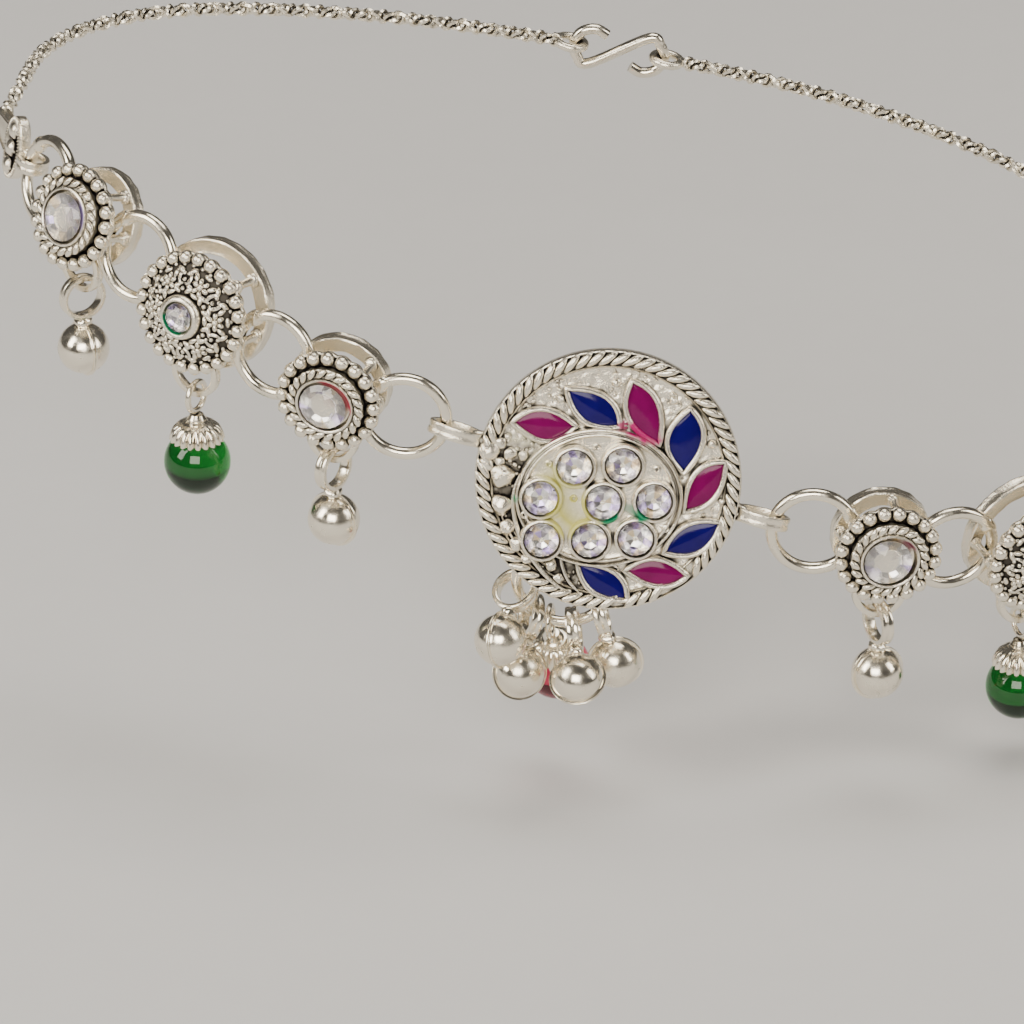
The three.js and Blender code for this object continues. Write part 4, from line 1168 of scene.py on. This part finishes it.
class ANKLET_OT_stations(AnkletOperator, bpy.types.Operator):
    """Cast the six stations with their balls, collets, back rings and posts"""

    bl_idname = "anklet.stations"
    bl_label = "Stations"

    def make(self, sizes, colours):
        for side in SIDES:
            for number in (1, 2, 3):
                kind = station_kind(number)
                place = station_place(side, number)
                casting = bmesh.new()
                turns = (0, math.radians(side["top_post"]), math.pi, drop_turn(place))
                self.frame_of(casting, STATIONS[kind], turns)
                if kind == "large":
                    self.large_face(casting, STATIONS[kind])
                else:
                    self.small_face(casting, STATIONS[kind])
                name = f"station_{side['name']}_{number}"
                deliver(f"{name}_casting", casting, place, [cast_finish(colours)], "cast_silver", [name],
                        tarnish=self.tarnish_of(kind), stain=self.stain_of(side["name"], number))

    def frame_of(self, casting, part, turns):
        """Disc with its border of balls, and the back ring that four posts hold behind it."""
        disc, count = part["disc"], part["balls"]
        size = math.pi * disc / (count + math.pi) * 0.97
        reach = disc - size
        front, rear = DISC_FACE, DISC_FACE + DISC_THICKNESS
        plate = turned([
            (0, front + 0.14), (reach - 0.3, front + 0.14), (reach + size * 0.55, front + 0.2),
            (disc - 0.14, front + 0.3), (disc - 0.1, front + 0.45), (disc - 0.2, rear - 0.06),
            (disc - 0.4, rear), (0, rear),
        ], 160)
        for vert in plate.verts:
            radius = math.hypot(vert.co.x, vert.co.z)
            if radius > reach:
                turn = math.atan2(vert.co.z, vert.co.x)
                scallop = 1 - 0.045 * (1 - abs(math.cos(turn * count / 2)))
                vert.co.x *= scallop
                vert.co.z *= scallop
        join(casting, plate)
        bead = ball(size, 14, 10)
        join(casting, bead, [round_face(reach, i * math.tau / count, -0.02, front) for i in range(count)])
        outer, inner = part["back"] + 0.1, part["back"] - BACK_BAND - 0.1
        near, far = BACK_FACE - BACK_THICKNESS, BACK_FACE + 0.1
        ring = turned([
            (inner + 0.12, near), (inner, near + 0.12), (inner, far - 0.12), (inner + 0.12, far),
            (outer - 0.16, far), (outer - 0.04, far - 0.06), (outer, far - 0.2), (outer - 0.06, far - 0.38),
            (outer - 0.06, near + 0.38), (outer, near + 0.2), (outer - 0.04, near + 0.06),
            (outer - 0.16, near), (outer - 0.34, near + 0.04), (inner + 0.34, near + 0.04),
        ], 72)
        roughen(ring, 0.1, 0.8)
        join(casting, ring)
        middle = (rear + near) / 2
        length = near - rear + 2 * BITE
        for turn in turns:
            radius = part["back"] - BACK_BAND / 2
            post = turned([
                (0, -length / 2), (POST_RADIUS + 0.12, -length / 2), (POST_RADIUS, -length / 2 + 0.35),
                (POST_RADIUS, length / 2 - 0.35), (POST_RADIUS + 0.14, length / 2), (0, length / 2),
            ], 14)
            roughen(post, 0.06, 0.6)
            x, z = math.cos(turn) * radius, math.sin(turn) * radius
            join(casting, post, [Matrix.Translation((x, middle, z))])
            lump = ball(POST_LUMP, 14, 10)
            roughen(lump, 0.2, 0.5)
            join(casting, lump, [Matrix.Translation((x, depth, z)) for depth in (rear, near)])

    def small_face(self, casting, part):
        """Smooth bezel round the stone, with a twisted wire round it that fills the room inside the balls."""
        stone, front = part["stone"], DISC_FACE
        collet = turned([
            (0, front - 0.4), (stone - 0.05, front - 0.5), (stone + 0.12, front - 0.8),
            (stone + 0.14, front - 1.08), (stone + 0.22, front - 1.15), (stone + 0.36, front - 1.1),
            (stone + 0.44, front - 0.85), (3.1, front - 0.65), (3.34, front - 0.5), (3.42, front + 0.2),
            (0, front + 0.2),
        ], 72)
        join(casting, collet)
        strand = ball(1.0, 10, 7)
        bmesh.ops.scale(strand, vec=(0.6, 0.3, 0.3), verts=strand.verts)
        turns = [i * math.tau / COLLET_STRANDS for i in range(COLLET_STRANDS)]
        places = [round_face(COLLET_ROPE, turn, 0.82, front, math.pi / 2 + 0.7) for turn in turns]
        join(casting, strand, places)

    def dome_height(self, part, radius):
        """How far the domed relief stands out at some distance from the centre."""
        rim = part["disc"] * 0.8
        share = max(0.0, min(1.0, (rim - radius) / (rim - part["collet"])))
        return 0.1 + 1.2 * math.sin(share * math.pi / 2)

    def on_dome(self, part, radius, turn, lift=0.0, twist=0.0):
        slope = (self.dome_height(part, radius - 0.05) - self.dome_height(part, radius + 0.05)) / 0.1
        return (Matrix.Rotation(-turn, 4, "Y")
                @ Matrix.Translation((radius, DISC_FACE - self.dome_height(part, radius) - lift, 0))
                @ Matrix.Rotation(math.atan(slope), 4, "Z") @ Matrix.Rotation(-twist, 4, "Y"))

    def large_face(self, casting, part):
        """Dome of rosettes, scrolls and leaves round a plain high collet."""
        lip, stone = part["collet"], part["stone"]
        top = DISC_FACE - part["rise"]
        profile = [(0, DISC_FACE + 0.2), (part["disc"] * 0.83, DISC_FACE + 0.2)]
        for radius in (4.6, 4.2, 3.7, 3.2, 2.7, 2.2, 1.6):
            profile.append((radius, DISC_FACE - self.dome_height(part, radius)))
        join(casting, turned(profile + [(0, DISC_FACE - 1.3)], 96))
        collet = turned([
            (0, top + 0.7), (stone + 0.02, top + 0.6), (stone + 0.16, top + 0.3), (stone + 0.2, top + 0.02),
            (stone + 0.32, top - 0.03), (stone + 0.5, top + 0.02), (lip - 0.04, top + 0.2), (lip, top + 0.5),
            (lip + 0.06, top + 1.1), (0, top + 1.1),
        ], 64)
        join(casting, collet)
        leaf, petal = ball(1.0, 10, 7), ball(1.0, 10, 7)
        bmesh.ops.scale(leaf, vec=(0.46, 0.26, 0.25), verts=leaf.verts)
        bmesh.ops.scale(petal, vec=(0.34, 0.24, 0.23), verts=petal.verts)
        dot, seed = ball(0.21, 8, 6), ball(0.28, 10, 7)
        leaves, petals, dots, seeds, curls = [], [], [], [], []
        for i in range(6):
            turn = i * math.tau / 6 + 0.4
            between = turn + math.pi / 6
            centre = self.on_dome(part, 3.2, turn)
            seeds.append(centre @ Matrix.Translation((0, -0.18, 0)))
            for k in range(6):
                spin = (k + 0.5) * math.tau / 6
                out = Matrix.Translation((math.cos(spin) * 0.52, -0.06, math.sin(spin) * 0.52))
                petals.append(centre @ out @ Matrix.Rotation(-spin, 4, "Y"))
            for sense in (-1, 1):
                curls.append(self.curl(part, between, sense))
                leaves.append(self.on_dome(part, 4.05, between + sense * 0.16, 0.05, sense * 0.9))
                leaves.append(self.on_dome(part, 2.5, between + sense * 0.24, 0.05, sense * 0.7))
                leaves.append(self.on_dome(part, 3.75, turn + sense * 0.24, 0.02, sense * 0.5))
                leaves.append(self.on_dome(part, 2.75, turn + sense * 0.28, 0.02, sense * 1.2))
                dots.append(self.on_dome(part, 3.75, between + sense * 0.06, 0.04))
            for radius in (2.35, 4.15):
                leaves.append(self.on_dome(part, radius, turn, 0.03, math.pi / 2))
            for radius in (2.55, 3.3):
                dots.append(self.on_dome(part, radius, between, 0.1))
        for i in range(30):
            dots.append(self.on_dome(part, 4.4, i * math.tau / 30, 0.02))
        for shape, places in ((leaf, leaves), (petal, petals), (dot, dots), (seed, seeds)):
            join(casting, shape, places)
        for path in curls:
            join(casting, drawn_wire(path, 0.18, 6, swell=tapered(path, 0.5)))

    def curl(self, part, turn, sense):
        """Line of a scroll that opens outwards and winds in at its end."""
        path = []
        for i in range(16):
            t = i / 15
            spin = math.pi * (0.2 + 1.5 * t)
            size = 0.62 - 0.34 * t
            radius = 3.3 + math.sin(spin) * size
            angle = turn + sense * (0.02 + (1 - math.cos(spin)) * size / 6.2)
            path.append(self.on_dome(part, radius, angle, 0.08).translation)
        return path

    def tarnish_of(self, kind):
        """Blackening of the ground inside the balls."""
        part = STATIONS[kind]
        reach = part["disc"] - math.pi * part["disc"] / (part["balls"] + math.pi)

        def rule(co):
            radius = math.hypot(co.x, co.z)
            if kind == "small":
                dark = DISC_FACE - 0.12 < co.y < DISC_FACE + 0.25 and 3.3 < radius < reach + 0.3
                return 0.82 if dark else 0.0
            ground = DISC_FACE - self.dome_height(part, radius)
            low = ground - 0.06 < co.y < DISC_FACE + 0.2
            return 0.93 if low and part["collet"] < radius < reach + 0.2 else 0.0
        return rule

    def stain_of(self, side, number):
        """Lacquer left inside the lip.

        It is red in the first stations, and on the left also green in the second and lilac in the third.
        """
        spots = {("left", 1): (1.15, "#9C0C38", 1.1), ("right", 1): (0.9, "#743648", 0.45),
                 ("left", 2): (-1.9, "#0E7A50", 1.1), ("left", 3): (0.6, "#8A76B8", 0.7)}
        if (side, number) not in spots:
            return lambda co: (1, 1, 1, 0.0)
        turn, code, spread = spots[(side, number)]
        part = STATIONS[station_kind(number)]
        tint = linear(code)

        def rule(co):
            radius = math.hypot(co.x, co.z)
            off = abs((math.atan2(co.z, co.x) - turn + math.pi) % math.tau - math.pi)
            inside = part["stone"] - 0.1 < radius < part["stone"] + 0.28 and co.y < DISC_FACE - 0.3
            return (*tint, max(0.0, min(1.0, (spread - off) * 4)) if inside else 0.0)
        return rule


# Rings, bells and beads

class ANKLET_OT_links(AnkletOperator, bpy.types.Operator):
    """Bend the wire rings that join the stations, each closed with a touch of solder"""

    bl_idname = "anklet.links"
    bl_label = "Link rings"

    def make(self, sizes, colours):
        for side in SIDES:
            for number in (1, 2, 3, 4):
                ring = bmesh.new()
                join(ring, turned(round_section(LINK_CENTRE, 0, LINK_WIRE, 20), 96))
                turn = math.pi / 2 - side["sense"] * SOLDER_TURN
                solder = ball(1.0, 16, 12)
                bmesh.ops.scale(solder, vec=(0.74, 0.58, 0.95), verts=solder.verts)
                roughen(solder, 0.12, 0.5)
                join(ring, solder, [round_face(LINK_CENTRE, turn, 0, 0)])
                name = f"link_{side['name']}_{number}"
                deliver(f"{name}_wire", ring, link_place(side, number), [bright_finish(colours)],
                        "bright_silver", [name])


def make_bell():
    """Bell pressed as two cups whose rims meet in a proud seam, below a soldered strap loop."""
    bell = bmesh.new()
    centre = -(BELL_LOOP_RADIUS + BELL_NECK + BELL_RADIUS)
    rim = BELL_RADIUS + BELL_FLANGE
    arc = [(math.cos(turn) * BELL_RADIUS, math.sin(turn) * BELL_RADIUS)
           for turn in (math.radians(-90 + 5 * i) for i in range(18))]
    profile = arc + [(BELL_RADIUS + 0.02, -0.15), (rim - 0.03, -0.15), (rim, -0.1), (rim - 0.02, -0.03),
                     (rim - 0.07, 0)]
    profile += [(radius, -depth) for radius, depth in reversed(profile[:-1])]
    profile[0] = (0, profile[0][1])
    profile[-1] = (0, profile[-1][1])
    join(bell, turned(profile, 64, closed=False), [Matrix.Translation((0, 0, centre))])
    saddle = ball(1.0, 24, 16)
    bmesh.ops.scale(saddle, vec=(0.82, 0.78, 0.62), verts=saddle.verts)
    roughen(saddle, 0.16, 0.55)
    join(bell, saddle, [Matrix.Translation((0, 0, -BELL_LOOP_RADIUS - BELL_NECK / 2))])
    loop = turned(strap_section(BELL_LOOP_RADIUS, BELL_LOOP_BAND, BELL_LOOP_WIDTH, 0.05), 48)
    join(bell, loop, [Matrix.Rotation(math.pi / 2, 4, "Z")])
    return bell


class ANKLET_OT_drops(AnkletOperator, bpy.types.Operator):
    """Hang a strap ring from each station, with a bell in it at the small ones"""

    bl_idname = "anklet.drops"
    bl_label = "Drop rings and bells"

    def make(self, sizes, colours):
        for side in SIDES:
            for number in (1, 2, 3):
                above, below = drop_places(side, number)
                name = f"{side['name']}_{number}"
                ring = turned(strap_section(DROP_RADIUS, DROP_BAND, DROP_WIDTH, 0.07), 56)
                roughen(ring, 0.03, 0.9)
                deliver(f"strap_ring_{name}", ring, above, [bright_finish(colours)], "bright_silver",
                        [f"drop_ring_{name}"])
                if number != 2:
                    deliver(f"side_bell_{name}", make_bell(), below, [bright_finish(colours)],
                            "bright_silver", [f"bell_{name}"])


def make_cap(flutes):
    """Fluted cap with a scalloped hem, a turned neck and a wire eye."""
    cap = bmesh.new()
    span = CAP_RADIUS - CAP_NECK_RADIUS
    outside = []
    for i in range(13):
        turn = i / 12 * math.pi / 2
        outside.append((CAP_NECK_RADIUS + span * math.sin(turn),
                        CAP_CROWN - CAP_HEIGHT * (1 - math.cos(turn))))
    inside = []
    for i in range(9):
        height = CAP_CROWN - CAP_HEIGHT + i / 8 * CAP_HEIGHT * 0.8
        inside.append((math.sqrt(max(0.0, BEAD_HOLLOW ** 2 - (height - BEAD_CENTRE) ** 2)), height))
    top = min(BEAD_CENTRE + BEAD_HOLLOW, CAP_CROWN - CAP_WALL)
    profile = [(0, CAP_CROWN)] + outside + inside + [(0, top)]
    shell = turned(profile, flutes * 8)
    for vert in shell.verts:
        radius = math.hypot(vert.co.x, vert.co.z)
        down = (CAP_CROWN - vert.co.y) / CAP_HEIGHT
        if radius < 0.01 or down <= 0.02:
            continue
        turn = math.atan2(vert.co.z, vert.co.x)
        wave = abs(math.cos(turn * flutes / 2))
        if BEAD_HOLLOW + 0.05 < math.hypot(radius, vert.co.y - BEAD_CENTRE):
            share = 1 - 0.15 * (1 - wave) * min(1.0, down * 2.5)
            vert.co.x *= share
            vert.co.z *= share
        if down > 0.9:
            vert.co.y += 0.1 * (1 - wave)
    join(cap, shell, [Matrix.Rotation(math.pi / 2, 4, "X")])
    neck = turned([(0, -0.15), (0.95, -0.12), (1.0, 0.02), (0.84, 0.16), (0.86, 0.34), (0.74, 0.5),
                   (0.6, 0.72), (0, 0.8)], 32)
    join(cap, neck, [Matrix.Translation((0, 0, CAP_CROWN)) @ Matrix.Rotation(math.pi / 2, 4, "X")])
    eye = turned(round_section(EYE_RADIUS - EYE_WIRE, 0, EYE_WIRE, 14), 48)
    join(cap, eye, [Matrix.Rotation(math.pi / 2, 4, "Z")])
    return cap


class ANKLET_OT_beads(AnkletOperator, bpy.types.Operator):
    """Hang the green beads from the large stations and the red one in the ring of bells"""

    bl_idname = "anklet.beads"
    bl_label = "Glass beads"

    def make(self, sizes, colours):
        green = finish_of("bottle_green", moulded_glass, "bottle_green", colours.green[:])
        red = finish_of("rose_red", moulded_glass, "rose_red", colours.red[:])
        hung = [(f"green_{side['name']}_2", drop_places(side, 2)[1], green, "green_glass") for side in SIDES]
        hung.append(("red", cluster_places()[1]["red"], red, "red_glass"))
        for name, place, glass, slot in hung:
            bead = ball(BEAD_RADIUS, 64, 40)
            bmesh.ops.translate(bead, verts=bead.verts, vec=(0, 0, BEAD_CENTRE))
            deliver(f"{name}_glass", bead, place, [glass], slot, [f"{name}_bead"])
            deliver(f"{name}_fluted_cap", make_cap(sizes.cap_flutes), place, [bright_finish(colours)],
                    "bright_silver", [f"{name}_cap"])


class ANKLET_OT_bell_ring(AnkletOperator, bpy.types.Operator):
    """Hang the ring of four bells behind the medallion"""

    bl_idname = "anklet.bell_ring"
    bl_label = "Ring of bells"

    def make(self, sizes, colours):
        centre, hung = cluster_places()
        ring = turned(round_section(CLUSTER_RADIUS - CLUSTER_WIRE, 0, CLUSTER_WIRE, 20), 96)
        deliver("cluster_ring_wire", ring, centre, [bright_finish(colours)], "bright_silver",
                ["cluster_ring"])
        for name, place in hung.items():
            if name != "red":
                deliver(f"{name}_pressed", make_bell(), place, [bright_finish(colours)], "bright_silver",
                        [name])


# End plates, chains and clasp

def end_place(side):
    _, at, share = STOPS[side["name"]][-1]
    along = ROUTE_LINE.tangent(share)
    return bench(at, along, inward_for(along, side["end"]))


class ANKLET_OT_ends(AnkletOperator, bpy.types.Operator):
    """Cast the oval end plates and solder a rope chain to each"""

    bl_idname = "anklet.ends"
    bl_label = "End plates and chains"

    def make(self, sizes, colours):
        for side in SIDES:
            place = end_place(side)
            casting = bmesh.new()
            self.plate(casting, side, place)
            casting.transform(place)
            path, loop = self.chain_path(side, place)
            self.chain(casting, path, sizes)
            eye = turned(round_section(CHAIN_LOOP - CHAIN_LOOP_WIRE, 0, CHAIN_LOOP_WIRE, 12), 40)
            join(casting, eye, [loop @ Matrix.Rotation(math.pi / 2, 4, "X")])
            name = f"end_chain_{side['name']}"
            inverse = place.inverted()

            def tarnish(co, inverse=inverse):
                here = inverse @ co
                oval = (here.x / END_HALVES[0]) ** 2 + (here.z / END_HALVES[1]) ** 2
                return 1.0 if oval < 0.62 and -0.62 < here.y < -0.25 else 0.0
            deliver(f"{name}_casting", casting, Matrix.Identity(4), [cast_finish(colours)], "cast_silver",
                    [name], tarnish=tarnish)

    def plate(self, casting, side, place):
        """Oval plate with a milled rim round a dark hollow that holds three balls."""
        level = -END_THICKNESS / 2
        body = turned([
            (0, level + 0.12), (0.76, level + 0.12), (0.8, level - 0.02), (0.86, level - 0.1),
            (0.94, level - 0.06), (1.0, level + 0.1), (1.0, 0.3), (0.93, 0.5), (0, 0.5),
        ], 72)
        bmesh.ops.scale(body, vec=(END_HALVES[0], 1, END_HALVES[1]), verts=body.verts)
        join(casting, body)
        tooth = ball(1.0, 8, 6)
        bmesh.ops.scale(tooth, vec=(0.24, 0.14, 0.085), verts=tooth.verts)
        teeth = []
        for i in range(EDGE_TEETH):
            turn = i * math.tau / EDGE_TEETH
            x, z = math.cos(turn) * END_HALVES[0] * 0.88, math.sin(turn) * END_HALVES[1] * 0.91
            teeth.append(on_face(x, z, 0.1, level, math.atan2(z / END_HALVES[1], x / END_HALVES[0]) + 0.3))
        join(casting, tooth, teeth)
        for row in (-1, 0, 1):
            bead = ball(END_BALL, 20, 14)
            bmesh.ops.scale(bead, vec=(0.98, 0.8, 0.92), verts=bead.verts)
            join(casting, bead, [Matrix.Translation((0, level + 0.1, row * END_BALL_PITCH))])
        tip = END_HALVES[0] + TONGUE
        tongue = bmesh.new()
        bmesh.ops.create_cube(tongue, size=1)
        bmesh.ops.subdivide_edges(tongue, edges=tongue.edges[:], cuts=6, use_grid_fill=True)
        for vert in tongue.verts:
            along = vert.co.x + 0.5
            half = TONGUE_ROOT + (CHAIN_RADIUS - TONGUE_ROOT) * along ** 0.75
            ridge = 0.16 * (1 - abs(vert.co.z * 2)) if vert.co.y < 0 else 0
            vert.co = (along * tip * side["sense"], vert.co.y * END_THICKNESS - ridge, vert.co.z * 2 * half)
        edges = [edge for edge in tongue.edges if edge.calc_face_angle(0) > 1.0]
        bmesh.ops.bevel(tongue, geom=edges, offset=0.14, segments=3, profile=0.5, affect="EDGES", material=-1)
        bmesh.ops.recalc_face_normals(tongue, faces=tongue.faces)
        join(casting, tongue)
        direction = place.inverted() @ STOPS[side["name"]][-2][1]
        lug_pieces(casting, END_HALVES[0], direction, (END_LUG, END_LUG))

    def chain_path(self, side, place):
        """Line of the chain from inside its tongue to its loop, and the place of the loop."""
        sense = side["sense"]
        share = STOPS[side["name"]][-1][2]
        start = place @ Vector((sense * (END_HALVES[0] + TONGUE - BITE * 2), 0, 0))
        offset = (HOOK_HALF + CHAIN_LOOP - 2 * CHAIN_LOOP_WIRE - HOOK_WIRE - CLEARANCE) / ROUTE_LINE.length
        loop_share = 0.5 - sense * offset
        at = ROUTE_LINE.at(loop_share)
        first = share + sense * (END_HALVES[0] + TONGUE) / ROUTE_LINE.length
        last = loop_share if sense > 0 else loop_share - 1
        points = [start] + [ROUTE_LINE.at(first + (last - first) * i / 12) for i in range(1, 12)]
        points.append(at + (points[-1] - at).normalized() * (CHAIN_LOOP - CHAIN_LOOP_WIRE))
        x = ROUTE_LINE.tangent(0.5)
        return smooth_path(points, 40), bench(at, x, inward_for(x, 0))

    def chain(self, casting, path, sizes):
        """Rope chain of small links, each turned a little more than the last."""
        link = turned(round_section(0.5, 0, 0.22, 5), 10)
        pitch, twist = sizes.chain_pitch / MM, sizes.chain_twist
        places, walked, turn = [], 0.0, 0.0
        for before, after in zip(path, path[1:]):
            walked += (after - before).length
            if walked >= pitch:
                walked -= pitch
                turn += twist
                x = (after - before).normalized()
                y = Quaternion(x, turn) @ UP.cross(x).normalized()
                places.append(bench(after, x, y) @ Matrix.Rotation(0.5, 4, "Z"))
        join(casting, link, places)


class ANKLET_OT_clasp(AnkletOperator, bpy.types.Operator):
    """Bend the hook of the clasp from one wire"""

    bl_idname = "anklet.clasp"
    bl_label = "Clasp"

    def make(self, sizes, colours):
        middle = HOOK_HALF - HOOK_TURN
        arc = [Vector((math.cos(turn) * HOOK_TURN - middle, 0, math.sin(turn) * HOOK_TURN))
               for turn in (math.radians(degrees) for degrees in (-50, -90, -135, -180, -225, -270))]
        path = smooth_path(arc + [-point for point in reversed(arc)], 8)
        hook = drawn_wire(path, HOOK_WIRE, 16)
        x = ROUTE_LINE.tangent(0.5)
        place = bench(ROUTE_LINE.at(0.5), x, inward_for(x, 0))
        deliver("clasp_hook_wire", hook, place, [bright_finish(colours)], "bright_silver", ["clasp_hook"])


STEPS = (
    ANKLET_OT_stage, ANKLET_OT_medallion, ANKLET_OT_enamel, ANKLET_OT_stones, ANKLET_OT_stations,
    ANKLET_OT_links, ANKLET_OT_drops, ANKLET_OT_beads, ANKLET_OT_bell_ring, ANKLET_OT_ends, ANKLET_OT_clasp,
)


class ANKLET_PT_panel(bpy.types.Panel):
    """Lists the steps of the anklet"""

    bl_idname = "ANKLET_PT_panel"
    bl_label = "Payal anklet"
    bl_space_type = "VIEW_3D"
    bl_region_type = "UI"
    bl_category = "Anklet"

    def draw(self, context):
        for group in (context.scene.anklet_sizes, context.scene.anklet_colours):
            for name in group.__annotations__:
                self.layout.prop(group, name)
        for step in STEPS:
            self.layout.operator(step.bl_idname)


CLASSES = (AnkletSizes, AnkletColours, *STEPS, ANKLET_PT_panel)


def register():
    for item in CLASSES:
        bpy.utils.register_class(item)
    bpy.types.Scene.anklet_sizes = PointerProperty(type=AnkletSizes)
    bpy.types.Scene.anklet_colours = PointerProperty(type=AnkletColours)


def unregister():
    del bpy.types.Scene.anklet_colours
    del bpy.types.Scene.anklet_sizes
    for item in reversed(CLASSES):
        bpy.utils.unregister_class(item)


def main():
    register()
    for step in STEPS:
        group, name = step.bl_idname.split(".")
        getattr(getattr(bpy.ops, group), name)()


if __name__ == "__main__":
    main()
